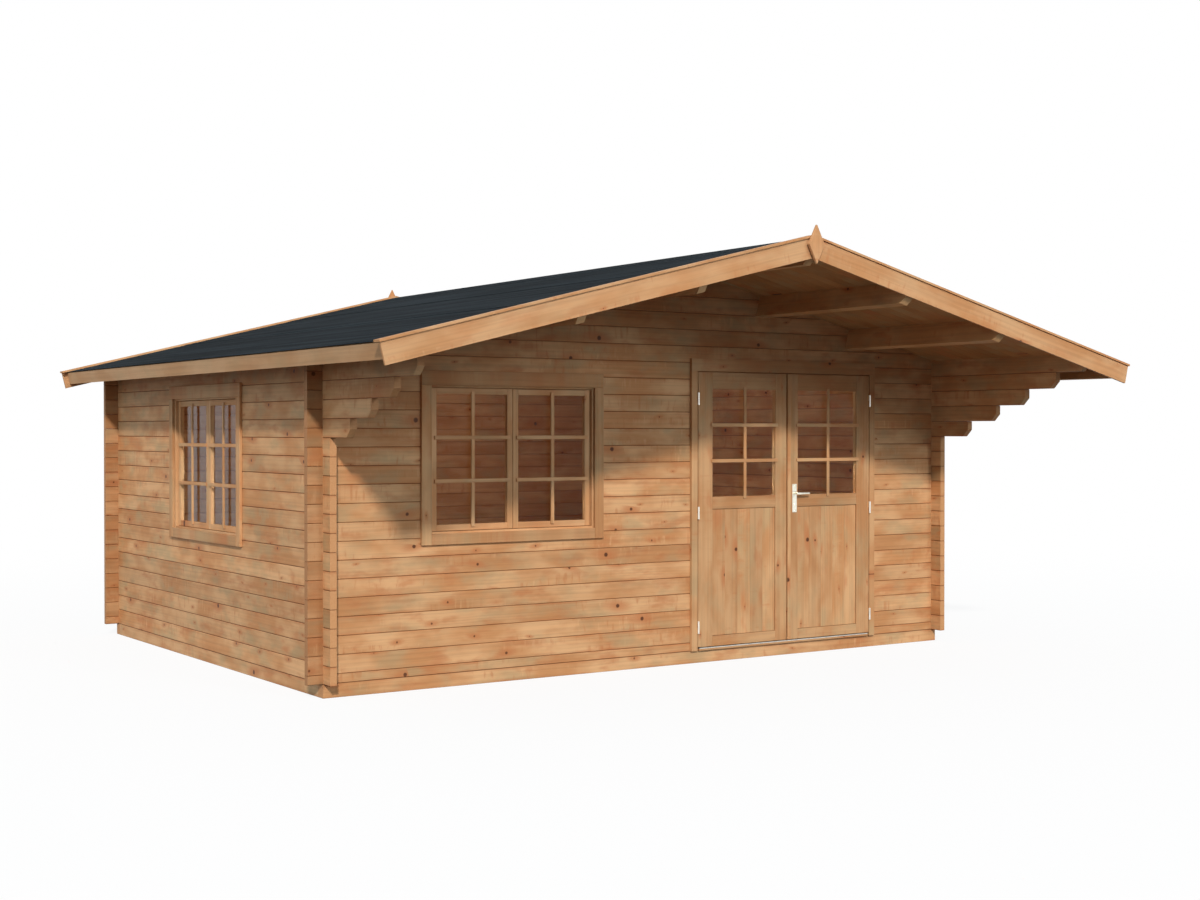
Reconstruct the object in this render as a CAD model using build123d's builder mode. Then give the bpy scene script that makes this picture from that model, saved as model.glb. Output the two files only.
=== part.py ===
"""A garden log cabin: interlocked log walls, a low gabled roof that reaches forward over
the entrance, a double glazed door and two double windows.

Millimetres, +Z up. The entrance faces -Y. The origin is on the ground, under the middle of
the whole cabin, roof trim included.
"""
import os
from math import ceil, cos, radians, sin, tan

from build123d import *

os.makedirs("parts", exist_ok=True)

# Gap between pieces that rest on each other, and the reach of a cut past what it cuts.
fit = 0.4
overrun = 20

# Log walls. The width and depth are over the outer faces of the walls.
wall_width = 5100
wall_depth = 3900
log_pitch = 114
log_thickness = 44
log_edge = 4
stub = 100
side_courses = 18
top_log_extra = 40

# Corbels: the upper side-wall logs step forward to carry the canopy.
corbel_step = 280
corbel_chamfer = 50
corbel_courses = 5

# Foundation beams and floor.
beam_height = 85
beam_width = 70
joist_width = 60
joist_spacing = 470
floor_thickness = 19

# Roof: slope, height of its underside over the side walls, overhangs along and down the slope.
roof_slope = 13.9
roof_seat = 7
front_overhang = 1498
back_overhang = 198
eaves_overhang = 318
deck_thickness = 20
felt_thickness = 2.5
felt_lip = 4
fascia_thickness = 19
fascia_width = 90
fascia_top_drop = 6

# Barge boards, the strips that cover their top edges, and the finials.
barge_thickness = 16
barge_width = 124
barge_end = 36
strip_thickness = 13.5
strip_width = 70
strip_front_lip = 10
strip_end_lip = 7
finial_width = 124
finial_height = 240
finial_thickness = 34
finial_top_rise = 59

# Purlins, ridge to eaves.
purlin_width = 60
purlin_height = 144
purlin_pitch = 845
purlin_chamfer = 45
purlin_end_gap = 3

# Windows: a double casement in a frame, trimmed outside by casing boards. Heights on the walls
# are counted in log courses.
window_x = -1212
window_sill_courses = 7
window_courses = 9
window_width = 1270
casing_thickness = 20
casing_width = 70
casing_head_width = 92
casing_side_lap = 45
casing_bottom_lap = 45
casing_head_lap = 20
frame_reveal = 12
sash_recess = 22
sash_thickness = 36
sash_stile = 40
sash_rail = 42
glass_thickness = 4

# Double door: frame, threshold and leaves. Its place is the middle of the two leaves.
door_x = 1048
door_axis_spacing = 1594
hinge_gap = 6
meeting_gap = 8
door_face = 22
jamb_face = 50
jamb_body = 28
stop_reach = 15
stop_depth = 20
head_face = 86
head_body = 58
threshold_height = 20
leaf_clearance = 5
leaf_thickness = 40
leaf_top_gap = 6
hinge_stile = 124
meeting_stile = 100
top_rail = 116
middle_rail = 85
bottom_rail = 70
leaf_pane_height = 750
leaf_glass_recess = 16
panel_thickness = 20
panel_recess = 8
door_head_courses = 17

# Hinges: a barrel in two knuckles on the outer face, turning on a pin.
barrel_radius = 7
barrel_offset = 7.5
knuckle_height = 43
pin_radius = 3
pin_clearance = 0.3
pin_reach = 30
hinge_heights = (1831, 1041, 248)

# Lever handle on the right leaf, alike outside and inside.
plate_width = 40
plate_height = 203
plate_thickness = 4
plate_from_edge = 66
plate_bottom = 1023
lever_rise = 137
spindle_radius = 5
spindle_clearance = 1
neck_radius = 9
neck_length = 42
lever_length = 125
lever_height = 20
lever_thickness = 12
lever_round = 5

# Levels and faces that follow from the sizes above.
half_width = wall_width / 2
lap_height = log_pitch / 2
log_height = log_pitch - fit
roof_angle = radians(roof_slope)
overall_depth = front_overhang + wall_depth + back_overhang
front_face = front_overhang - overall_depth / 2
back_face = front_face + wall_depth
deck_front = front_face - front_overhang
deck_back = back_face + back_overhang
side_top = beam_height + side_courses * log_pitch
inner_half_width = half_width - log_thickness
ridge_underside = side_top + roof_seat + inner_half_width * tan(roof_angle)
front_base = beam_height + log_pitch / 2
gable_courses = ceil((ridge_underside - front_base) / log_pitch)
log_end = half_width + stub
deck_length = half_width / cos(roof_angle) + eaves_overhang
felt_top = deck_thickness + felt_thickness
fascia_face = deck_length + fascia_thickness
barge_front = deck_front - fit - barge_thickness
barge_back = deck_back + fit + barge_thickness
barge_length = fascia_face + barge_end
front_middle = front_face + log_thickness / 2
back_middle = back_face - log_thickness / 2
side_middle = half_width - log_thickness / 2


def slope_point(side, along, rise):
    """Point (x, z) at a distance along the roof slope and square above its underside."""
    reach = along * cos(roof_angle) + rise * sin(roof_angle)
    height = ridge_underside - along * sin(roof_angle) + rise * cos(roof_angle)
    return side * reach, height


def ridge_point(side, rise):
    """Point (x, z) beside the ridge's upright joint, on the surface at a rise above the underside."""
    return side * fit, ridge_underside + rise / cos(roof_angle) - fit * tan(roof_angle)


def slope_band(side, low, high, along):
    """Outline of a board that runs down the slope from the ridge's upright joint to a square end."""
    return (
        ridge_point(side, low),
        slope_point(side, along, low),
        slope_point(side, along, high),
        ridge_point(side, high),
    )


def upright(y):
    """Plane of the cross-section at y: local x is X and local y is Z. A negative length goes to +Y."""
    return Plane.XZ.offset(-y)


def save(node, name):
    """Label a finished piece and write it."""
    node.part.label = name
    export_step(node.part, f"parts/{name}.step")


class LogSection(BaseSketchObject):
    """Section of one log, standing on its place, with a bevel along each edge."""

    def __init__(self, height=log_height, rotation=0, mode=Mode.ADD):
        with BuildSketch() as section:
            Rectangle(log_thickness, height, align=(Align.CENTER, Align.MIN))
            chamfer(section.vertices(), log_edge)
        super().__init__(obj=section.sketch, rotation=rotation, align=None, mode=mode)


class CornerNotch(BasePartObject):
    """Cut where a log of the other wall crosses at half height."""

    def __init__(self, rotation=(0, 0, 0), align=None, mode=Mode.SUBTRACT):
        cut = log_thickness + fit
        with BuildPart() as notch:
            Box(cut, cut, lap_height + fit / 2)
        super().__init__(part=notch.part, rotation=rotation, align=align, mode=mode)


def front_rows(first, count):
    """Heights at which the front and back walls' logs start, from one course on."""
    return [front_base + log_pitch * course for course in range(first, first + count)]


def side_rows(first, count):
    """Heights at which the side walls' logs start, from one course on."""
    return [beam_height + log_pitch * course for course in range(first, first + count)]


def crossings(x_places, y_places, rows):
    """Notch centres at the corners: half a course from where each log starts and ends."""
    ends = [row for row in rows] + [rows[-1] + log_pitch]
    return [(x, y, z) for x in x_places for y in y_places for z in ends]


def logs_along_x(start, end, y, rows, corners):
    """Stack of front or back logs between two x places, notched at the corners named."""
    with BuildPart() as logs:
        with BuildSketch(Plane.YZ.offset(start)):
            with Locations(*[(y, row) for row in rows]):
                LogSection()
        extrude(amount=end - start)
        if corners:
            with Locations(*crossings(corners, [y], rows)):
                CornerNotch()
    return logs.part


def logs_along_y(start, end, x, rows, corners):
    """Stack of side logs between two y places, notched at the corners named."""
    with BuildPart() as logs:
        with BuildSketch(upright(start)):
            with Locations(*[(x, row) for row in rows]):
                LogSection()
        extrude(amount=start - end)
        if corners:
            with Locations(*crossings([x], corners, rows)):
                CornerNotch()
    return logs.part


# Foundation: front and back beams run through, the side beams stand between them.
for name, outer, inner in (
    ("foundation_front", front_face, front_face + beam_width),
    ("foundation_back", back_face, back_face - beam_width),
):
    with BuildPart() as beam:
        with BuildSketch():
            with Locations((0, (outer + inner) / 2)):
                Rectangle(wall_width, beam_width)
        extrude(amount=beam_height - fit)
    save(beam, name)

side_beam_length = wall_depth - 2 * (beam_width + fit)
middle_y = (front_face + back_face) / 2
for name, side in (("foundation_left", -1), ("foundation_right", 1)):
    with BuildPart() as beam:
        with BuildSketch():
            with Locations((side * (half_width - beam_width / 2), middle_y)):
                Rectangle(beam_width, side_beam_length)
        extrude(amount=beam_height - fit)
    save(beam, name)

# Floor: joists between the front and back beams carry one boarded deck inside the walls.
joist_count = int((wall_width - 2 * beam_width) // joist_spacing)
with BuildPart() as floor_joists:
    with BuildSketch():
        with Locations((0, middle_y)):
            with GridLocations(joist_spacing, 0, joist_count, 1):
                Rectangle(joist_width, side_beam_length)
    extrude(amount=beam_height - fit)
save(floor_joists, "floor_joists")

with BuildPart() as floor_deck:
    with BuildSketch(Plane.XY.offset(beam_height)):
        with Locations((0, middle_y)):
            Rectangle(2 * (inner_half_width - fit), wall_depth - 2 * (log_thickness + fit))
    extrude(amount=floor_thickness)
save(floor_deck, "floor_deck")

# Front wall: the door parts it, and the window parts the left half again.
door_opening = door_axis_spacing / 2 + hinge_gap / 2 + jamb_body
door_left = door_x - door_opening
door_right = door_x + door_opening
window_left = window_x - window_width / 2
window_right = window_x + window_width / 2
window_top_courses = window_sill_courses + window_courses
left_corner = [-side_middle]
right_corner = [side_middle]

window_rows = front_rows(window_sill_courses, window_courses)
high_rows = front_rows(window_top_courses, door_head_courses - window_top_courses)

for name, start, end, rows, corners in (
    ("front_logs_left", -log_end, window_left, window_rows, left_corner),
    ("front_logs_mid", window_right, door_left, window_rows, []),
    ("front_logs_high", -log_end, door_left, high_rows, left_corner),
):
    with BuildPart() as wall:
        add(logs_along_x(start, end, front_middle, rows, corners))
    save(wall, name)


def bottom_log(start, end, y, corners):
    """Half-height log that starts a front or back wall, notched at the corners named."""
    with BuildPart() as log:
        with BuildSketch(Plane.YZ.offset(start)):
            with Locations((y, beam_height)):
                LogSection(lap_height - fit)
        extrude(amount=end - start)
        with Locations(*crossings(corners, [y], [front_base - log_pitch])):
            CornerNotch()
    return log.part


for name, start, end, courses, corners in (
    ("front_logs_low", -log_end, door_left, window_sill_courses, left_corner),
    ("front_logs_right", door_right, log_end, door_head_courses, right_corner),
):
    with BuildPart() as wall:
        add(bottom_log(start, end, front_middle, corners))
        add(logs_along_x(start, end, front_middle, front_rows(0, courses), corners))
    save(wall, name)

# Side walls. Left: parted by its window. The upper logs reach forward as corbels.
window_y = middle_y
window_front = window_y - window_width / 2
window_back = window_y + window_width / 2
front_end = front_face - stub
back_end = back_face + stub
front_corner = [front_middle]
back_corner = [back_middle]
corbel_start = side_courses - corbel_courses
low_rows = side_rows(0, window_sill_courses)
beside_rows = side_rows(window_sill_courses, corbel_start - window_sill_courses)
back_rows = side_rows(window_sill_courses, window_courses)

for name, start, end, side, rows, corners in (
    ("left_logs_low", front_end, back_end, -1, low_rows, front_corner + back_corner),
    ("left_logs_front", front_end, window_front, -1, beside_rows, front_corner),
    ("left_logs_back", window_back, back_end, -1, back_rows, back_corner),
    ("right_logs", front_end, back_end, 1, side_rows(0, corbel_start), front_corner + back_corner),
):
    with BuildPart() as wall:
        add(logs_along_y(start, end, side * side_middle, rows, corners))
    save(wall, name)


def corbel_log(side, course, end):
    """One upper side log, stepped forward and chamfered under its front end, cut to the roof."""
    last = course == side_courses - 1
    step = course - corbel_start + 1
    reach = front_overhang - purlin_end_gap if last else stub + corbel_step * step
    height = log_height + top_log_extra if last else log_height
    start = front_face - reach
    row = beam_height + log_pitch * course
    x = side * side_middle
    corners = front_corner + back_corner if end == back_end else front_corner
    with BuildPart() as log:
        with BuildSketch(upright(start)):
            with Locations((x, row)):
                LogSection(height)
        extrude(amount=start - end)
        front_bottom = log.edges().filter_by(Axis.X).group_by(Axis.Y)[0].sort_by(Axis.Z)[0]
        chamfer(front_bottom, corbel_chamfer)
        with Locations(*crossings([x], corners, [row])):
            CornerNotch()
        if last:
            with BuildSketch(upright(start - overrun)):
                with BuildLine():
                    Polyline(
                        slope_point(side, 0, -fit),
                        slope_point(side, deck_length, -fit),
                        slope_point(side, deck_length, overrun + top_log_extra),
                        slope_point(side, 0, overrun + top_log_extra),
                        close=True,
                    )
                make_face()
            extrude(amount=start - end - 2 * overrun, mode=Mode.SUBTRACT)
    return log.part


for name, side in (("left_corbels", -1), ("right_corbels", 1)):
    with BuildPart() as corbels:
        for course in range(corbel_start, side_courses):
            beside_window = side < 0 and course < window_top_courses
            add(corbel_log(side, course, window_front if beside_window else back_end))
    save(corbels, name)


def purlin_outline(side, centre, grow):
    """Section of a purlin square to the slope, under the roof; grow widens it for a pocket."""
    half = purlin_width / 2 + grow
    low = -purlin_height - grow
    return (
        slope_point(side, centre - half, low),
        slope_point(side, centre + half, low),
        slope_point(side, centre + half, -fit + grow),
        slope_point(side, centre - half, -fit + grow),
    )


def ridge_outline(grow):
    """Section of the ridge purlin, bevelled on top to both slopes."""
    half = purlin_width / 2 + grow
    shoulder = ridge_underside - half * tan(roof_angle) - fit + grow
    bottom = ridge_underside - purlin_height - grow
    return (
        (-half, bottom),
        (half, bottom),
        (half, shoulder),
        (0, ridge_underside - fit + grow),
        (-half, shoulder),
    )


purlin_places = {"upper": purlin_pitch / cos(roof_angle), "lower": 2 * purlin_pitch / cos(roof_angle)}
purlin_sections = {"ridge_purlin": ridge_outline(0)}
purlin_pockets = [ridge_outline(fit)]
for side_name, side in (("left", -1), ("right", 1)):
    for level, centre in purlin_places.items():
        purlin_sections[f"{side_name}_purlin_{level}"] = purlin_outline(side, centre, 0)
        purlin_pockets.append(purlin_outline(side, centre, fit))


def gable(y, rows):
    """Logs under the roof, cut to both slopes, notched at the corners and open for the purlins."""
    outer = y - log_thickness / 2 - overrun
    depth = log_thickness + 2 * overrun
    with BuildPart() as logs:
        add(logs_along_x(-log_end, log_end, y, rows, left_corner + right_corner))
        with BuildSketch(upright(outer)):
            with BuildLine():
                Polyline(
                    (0, ridge_underside - fit / cos(roof_angle)),
                    slope_point(1, deck_length, -fit),
                    (deck_length, 0),
                    (-deck_length, 0),
                    slope_point(-1, deck_length, -fit),
                    close=True,
                )
            make_face()
        extrude(amount=-depth, mode=Mode.INTERSECT)
        for outline in purlin_pockets:
            with BuildSketch(upright(outer)):
                with BuildLine():
                    Polyline(*outline, close=True)
                make_face()
            extrude(amount=-depth, mode=Mode.SUBTRACT)
    return logs.part


straight_rows = front_rows(0, door_head_courses)
gable_rows = front_rows(door_head_courses, gable_courses - door_head_courses)

with BuildPart() as front_gable:
    add(gable(front_middle, gable_rows))
save(front_gable, "front_gable")

with BuildPart() as back_logs:
    add(bottom_log(-log_end, log_end, back_middle, left_corner + right_corner))
    add(logs_along_x(-log_end, log_end, back_middle, straight_rows, left_corner + right_corner))
    add(gable(back_middle, gable_rows))
save(back_logs, "back_logs")

# Purlins: from just behind the front barge boards to just before the back ones.
purlin_front = deck_front + purlin_end_gap
purlin_back = deck_back - purlin_end_gap
for name, outline in purlin_sections.items():
    with BuildPart() as purlin:
        with BuildSketch(upright(purlin_front)):
            with BuildLine():
                Polyline(*outline, close=True)
            make_face()
        extrude(amount=purlin_front - purlin_back)
        for ends in (purlin.faces().sort_by(Axis.Y)[0], purlin.faces().sort_by(Axis.Y)[-1]):
            under = ends.edges().sort_by(Axis.Z)[0]
            chamfer(under, purlin_chamfer)
    save(purlin, name)


def slope_board(side, low, high, along, start, end):
    """Board down one slope, between two heights over the underside and two y places."""
    with BuildPart() as board:
        with BuildSketch(upright(start)):
            with BuildLine():
                Polyline(*slope_band(side, low, high, along), close=True)
            make_face()
        extrude(amount=start - end)
    return board.part


# Roof deck, one sheet of felt over both slopes, and the eaves boards.
for name, side in (("left_roof_deck", -1), ("right_roof_deck", 1)):
    with BuildPart() as deck:
        add(slope_board(side, 0, deck_thickness, deck_length, deck_front, deck_back))
    save(deck, name)

felt_length = fascia_face + felt_lip
with BuildPart() as roof_felt:
    with BuildSketch(upright(deck_front)):
        with BuildLine():
            Polyline(
                (0, ridge_underside + (deck_thickness + fit) / cos(roof_angle)),
                slope_point(1, felt_length, deck_thickness + fit),
                slope_point(1, felt_length, felt_top),
                (0, ridge_underside + felt_top / cos(roof_angle)),
                slope_point(-1, felt_length, felt_top),
                slope_point(-1, felt_length, deck_thickness + fit),
                close=True,
            )
        make_face()
    extrude(amount=deck_front - deck_back)
save(roof_felt, "roof_felt")

fascia_top = deck_thickness - fascia_top_drop
for name, side in (("left_eaves_board", -1), ("right_eaves_board", 1)):
    with BuildPart() as eaves_board:
        with BuildSketch(upright(deck_front)):
            with BuildLine():
                Polyline(
                    slope_point(side, deck_length + fit, fascia_top - fascia_width),
                    slope_point(side, fascia_face, fascia_top - fascia_width),
                    slope_point(side, fascia_face, fascia_top),
                    slope_point(side, deck_length + fit, fascia_top),
                    close=True,
                )
            make_face()
        extrude(amount=deck_front - deck_back)
    save(eaves_board, name)

# Barge boards at both gable ends, and the strips over their top edges.
barge_top = felt_top - fit
strip_low = felt_top + fit
strip_high = felt_top + strip_thickness
strip_length = barge_length + strip_end_lip
for end_name, start, end in (
    ("front", barge_front, barge_front + barge_thickness),
    ("back", barge_back - barge_thickness, barge_back),
):
    for side_name, side in (("left", -1), ("right", 1)):
        with BuildPart() as barge:
            add(slope_board(side, barge_top - barge_width, barge_top, barge_length, start, end))
        save(barge, f"{end_name}_{side_name}_barge")

for name, start, end in (
    ("front_cover_strips", barge_front - strip_front_lip, barge_front - strip_front_lip + strip_width),
    ("back_cover_strips", barge_back + strip_front_lip - strip_width, barge_back + strip_front_lip),
):
    with BuildPart() as strips:
        for side in (-1, 1):
            add(slope_board(side, strip_low, strip_high, strip_length, start, end))
    save(strips, name)

# Finials: upright diamonds on the barge boards' faces at the ridge, notched round the strips' lip.
finial_top = ridge_underside + strip_high / cos(roof_angle) + finial_top_rise
finial_middle = finial_top - finial_height / 2
for name, start, direction in (
    ("front_finial", barge_front - fit, 1),
    ("back_finial", barge_back + fit, -1),
):
    with BuildPart() as finial:
        with BuildSketch(upright(start)):
            with BuildLine():
                Polyline(
                    (0, finial_top),
                    (finial_width / 2, finial_middle),
                    (0, finial_top - finial_height),
                    (-finial_width / 2, finial_middle),
                    close=True,
                )
            make_face()
        extrude(amount=direction * finial_thickness)
        with BuildSketch(upright(start)):
            with BuildLine():
                Polyline(
                    (0, ridge_underside + (strip_low - fit) / cos(roof_angle)),
                    slope_point(1, finial_width, strip_low - fit),
                    slope_point(1, finial_width, strip_high + fit),
                    (0, ridge_underside + (strip_high + fit) / cos(roof_angle)),
                    slope_point(-1, finial_width, strip_high + fit),
                    slope_point(-1, finial_width, strip_low - fit),
                    close=True,
                )
            make_face()
        extrude(amount=direction * (strip_front_lip + fit), mode=Mode.SUBTRACT)
    save(finial, name)

# Windows. Each is drawn on the wall's outer face: local x along the wall, local y up from the
# opening's foot. The casing's head lies over its side boards, the foot board between them.
window_height = window_courses * log_pitch
clear_left = window_width / 2 + casing_side_lap - casing_width
clear_bottom = casing_width - casing_bottom_lap
clear_top = window_height + casing_head_lap - casing_head_width
front_plane = Plane(
    origin=(window_x, front_face, front_base + log_pitch * window_sill_courses),
    x_dir=(1, 0, 0),
    z_dir=(0, -1, 0),
)
left_plane = Plane(
    origin=(-half_width, window_y, beam_height + log_pitch * window_sill_courses),
    x_dir=(0, -1, 0),
    z_dir=(-1, 0, 0),
)


def frame_bounds(inset):
    """Half width, foot and top of a rectangle set in from the casing's inner edge."""
    return clear_left - inset, clear_bottom + inset, clear_top - inset


for wall_name, plane in (("front", front_plane), ("left", left_plane)):
    outer_half = clear_left + casing_width
    outer_foot = clear_bottom - casing_width
    outer_top = clear_top + casing_head_width
    with BuildPart() as casing:
        with BuildSketch(plane.offset(fit)):
            with Locations((0, (clear_top + outer_top) / 2)):
                Rectangle(2 * outer_half, casing_head_width)
            with Locations((0, (outer_foot + clear_bottom) / 2)):
                Rectangle(2 * (clear_left - fit), casing_width)
            with Locations((0, (outer_foot + clear_top - fit) / 2)):
                with GridLocations(2 * clear_left + casing_width, 0, 2, 1):
                    Rectangle(casing_width, clear_top - fit - outer_foot)
        extrude(amount=casing_thickness - fit)
    save(casing, f"{wall_name}_window_casing")

    open_half, open_foot, open_top = frame_bounds(frame_reveal)
    sash_width = open_half - 2 * fit
    sash_foot = open_foot + fit
    sash_top = open_top - fit
    sash_middle = open_half / 2
    light_width = sash_width - 2 * sash_stile
    light_height = sash_top - sash_foot - 2 * sash_rail
    light_middle = (sash_foot + sash_top) / 2
    with BuildPart() as frame:
        with BuildSketch(plane):
            with Locations((0, window_height / 2)):
                Rectangle(window_width - 2 * fit, window_height - 2 * fit)
            with Locations((0, (open_foot + open_top) / 2)):
                Rectangle(2 * open_half, open_top - open_foot, mode=Mode.SUBTRACT)
        extrude(amount=-sash_recess - sash_thickness)
        with BuildSketch(plane.offset(-sash_recess)):
            with Locations((0, light_middle)):
                with GridLocations(2 * sash_middle, 0, 2, 1):
                    Rectangle(sash_width, sash_top - sash_foot)
                with GridLocations(2 * sash_middle, 0, 2, 1):
                    Rectangle(light_width, light_height, mode=Mode.SUBTRACT)
        extrude(amount=-sash_thickness)
    save(frame, f"{wall_name}_window_frame")

    with BuildPart() as glass:
        with BuildSketch(plane.offset(-sash_recess - sash_thickness / 2 + glass_thickness / 2)):
            with Locations((0, light_middle)):
                with GridLocations(2 * sash_middle, 0, 2, 1):
                    Rectangle(light_width - 2 * fit, light_height - 2 * fit)
        extrude(amount=-glass_thickness)
    save(glass, f"{wall_name}_window_glass")

# Door frame: jambs with a flange over the log ends, a head across both, stop strips behind the leaves.
jamb_inner = door_axis_spacing / 2 + hinge_gap / 2
jamb_outer = jamb_inner + jamb_face
jamb_body_edge = jamb_inner + jamb_body - fit
flange_front = front_face - door_face
flange_back = front_face - fit
wall_inside = front_face + log_thickness
stop_front = wall_inside - stop_depth
stop_inner = jamb_inner - fit - stop_reach
stop_middle = stop_inner + stop_reach / 2
leaf_foot = beam_height + threshold_height + leaf_clearance
head_foot = front_base + log_pitch * door_head_courses - head_body - fit
leaf_top = head_foot - leaf_top_gap

for name, side in (("door_jamb_left", -1), ("door_jamb_right", 1)):
    with BuildPart() as jamb:
        with BuildSketch(Plane.XY.offset(beam_height)):
            with BuildLine():
                Polyline(
                    (door_x + side * jamb_inner, flange_front),
                    (door_x + side * jamb_outer, flange_front),
                    (door_x + side * jamb_outer, flange_back),
                    (door_x + side * jamb_body_edge, flange_back),
                    (door_x + side * jamb_body_edge, wall_inside),
                    (door_x + side * jamb_inner, wall_inside),
                    close=True,
                )
            make_face()
            with Locations((door_x + side * stop_middle, (stop_front + wall_inside) / 2)):
                Rectangle(stop_reach, stop_depth)
        extrude(amount=head_foot - fit - beam_height)
    save(jamb, name)

with BuildPart() as door_head:
    with BuildSketch(Plane.YZ.offset(door_x - jamb_outer)):
        with BuildLine():
            Polyline(
                (flange_front, head_foot),
                (flange_back, head_foot),
                (flange_back, head_foot + head_face),
                (flange_front, head_foot + head_face),
                close=True,
            )
        make_face()
    extrude(amount=2 * jamb_outer)
    with BuildSketch(Plane.YZ.offset(door_x - jamb_body_edge)):
        with BuildLine():
            Polyline(
                (flange_back, head_foot),
                (wall_inside, head_foot),
                (wall_inside, head_foot + head_body),
                (flange_back, head_foot + head_body),
                close=True,
            )
        make_face()
    extrude(amount=2 * jamb_body_edge)
    with BuildSketch(Plane.XY.offset(head_foot - fit - stop_reach)):
        with Locations((door_x, (stop_front + wall_inside) / 2)):
            Rectangle(2 * (stop_inner - fit), stop_depth)
    extrude(amount=stop_reach)
save(door_head, "door_head")

with BuildPart() as door_threshold:
    with BuildSketch(Plane.XY.offset(beam_height)):
        with Locations((door_x, (flange_front + wall_inside) / 2)):
            Rectangle(2 * (stop_inner - fit), wall_inside - flange_front)
    extrude(amount=threshold_height)
save(door_threshold, "door_threshold")

# Door leaves: a frame of stiles and rails, glazed above and panelled below.
axis_y = flange_front - barrel_offset
hinge_edge = door_axis_spacing / 2 - hinge_gap / 2
meeting_edge = meeting_gap / 2
pane_outer = hinge_edge - hinge_stile
pane_inner = meeting_edge + meeting_stile
pane_top = leaf_top - top_rail
pane_foot = pane_top - leaf_pane_height
panel_top = pane_foot - middle_rail
panel_foot = leaf_foot + bottom_rail
pane_width = pane_outer - pane_inner
pane_middle = (pane_outer + pane_inner) / 2
spindle_x = door_x + meeting_edge + plate_from_edge
spindle_z = plate_bottom + lever_rise
leaf_back = flange_front + leaf_thickness
leaf_middle = (hinge_edge + meeting_edge) / 2

for side_name, side in (("left", -1), ("right", 1)):
    with BuildPart() as leaf_frame:
        with BuildSketch(upright(flange_front)):
            with Locations((door_x + side * leaf_middle, (leaf_foot + leaf_top) / 2)):
                Rectangle(hinge_edge - meeting_edge, leaf_top - leaf_foot)
            with Locations((door_x + side * pane_middle, (pane_foot + pane_top) / 2)):
                Rectangle(pane_width, pane_top - pane_foot, mode=Mode.SUBTRACT)
            with Locations((door_x + side * pane_middle, (panel_foot + panel_top) / 2)):
                Rectangle(pane_width, panel_top - panel_foot, mode=Mode.SUBTRACT)
            if side > 0:
                with Locations((spindle_x, spindle_z)):
                    Circle(spindle_radius + spindle_clearance, mode=Mode.SUBTRACT)
        extrude(amount=-leaf_thickness)
    save(leaf_frame, f"{side_name}_leaf_frame")

    with BuildPart() as leaf_panel:
        with BuildSketch(upright(flange_front + panel_recess)):
            with Locations((door_x + side * pane_middle, (panel_foot + panel_top) / 2)):
                Rectangle(pane_width - 2 * fit, panel_top - panel_foot - 2 * fit)
        extrude(amount=-panel_thickness)
    save(leaf_panel, f"{side_name}_leaf_panel")

    with BuildPart() as leaf_glass:
        with BuildSketch(upright(flange_front + leaf_glass_recess)):
            with Locations((door_x + side * pane_middle, (pane_foot + pane_top) / 2)):
                Rectangle(pane_width - 2 * fit, pane_top - pane_foot - 2 * fit)
        extrude(amount=-glass_thickness)
    save(leaf_glass, f"{side_name}_leaf_glass")


def knuckle(side, foot, bore):
    """Half of a hinge barrel on its axis, with a web back to the face that carries it."""
    axis_x, web_side = side
    web_x = axis_x + web_side * (hinge_gap / 2 + barrel_radius) / 2
    web_width = barrel_radius - hinge_gap / 2
    with BuildPart() as half:
        with BuildSketch(Plane.XY.offset(foot)):
            with Locations((axis_x, axis_y)):
                Circle(barrel_radius)
            with Locations((web_x, (axis_y + flange_front) / 2)):
                Rectangle(web_width, flange_front - axis_y)
        extrude(amount=knuckle_height - fit)
        with BuildSketch(Plane.XY.offset(foot if bore else foot + knuckle_height - fit)):
            with Locations((axis_x, axis_y)):
                Circle(pin_radius + pin_clearance if bore else pin_radius)
        if bore:
            extrude(amount=pin_reach + fit, mode=Mode.SUBTRACT)
        else:
            extrude(amount=pin_reach - fit)
    return half.part


# Hinges: lower knuckles and pins sit on the jambs, upper knuckles on the leaves.
with BuildPart() as hinge_pins:
    for side in (-1, 1):
        for middle in hinge_heights:
            add(knuckle((door_x + side * door_axis_spacing / 2, side), middle - knuckle_height, False))
save(hinge_pins, "hinge_pins")

for side_name, side in (("left", -1), ("right", 1)):
    with BuildPart() as leaf_hinges:
        for middle in hinge_heights:
            add(knuckle((door_x + side * door_axis_spacing / 2, -side), middle, True))
    save(leaf_hinges, f"{side_name}_leaf_hinges")

# Handle: a plate on each face of the right leaf, and one turning lever through both.
with BuildPart() as handle_plates:
    for face in (flange_front - plate_thickness, leaf_back):
        with BuildSketch(upright(face)):
            with Locations((spindle_x, plate_bottom + plate_height / 2)):
                RectangleRounded(plate_width, plate_height, lever_round)
            with Locations((spindle_x, spindle_z)):
                Circle(neck_radius + spindle_clearance, mode=Mode.SUBTRACT)
        extrude(amount=-plate_thickness)
save(handle_plates, "handle_plates")

lever_front = flange_front - plate_thickness - neck_length
lever_back = leaf_back + plate_thickness + neck_length
with BuildPart() as handle_lever:
    with BuildSketch(upright(lever_front)):
        with Locations((spindle_x, spindle_z)):
            Circle(spindle_radius)
    extrude(amount=lever_front - lever_back)
    for start, end in (
        (lever_front, flange_front - fit),
        (leaf_back + fit, lever_back),
    ):
        with BuildSketch(upright(start)):
            with Locations((spindle_x, spindle_z)):
                Circle(neck_radius)
        extrude(amount=start - end)
    for start in (lever_front, lever_back - lever_thickness):
        with BuildSketch(upright(start)):
            with Locations((spindle_x + lever_length / 2 - lever_height / 2, spindle_z)):
                RectangleRounded(lever_length, lever_height, lever_height / 2 - fit)
        extrude(amount=-lever_thickness)
save(handle_lever, "handle_lever")
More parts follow.
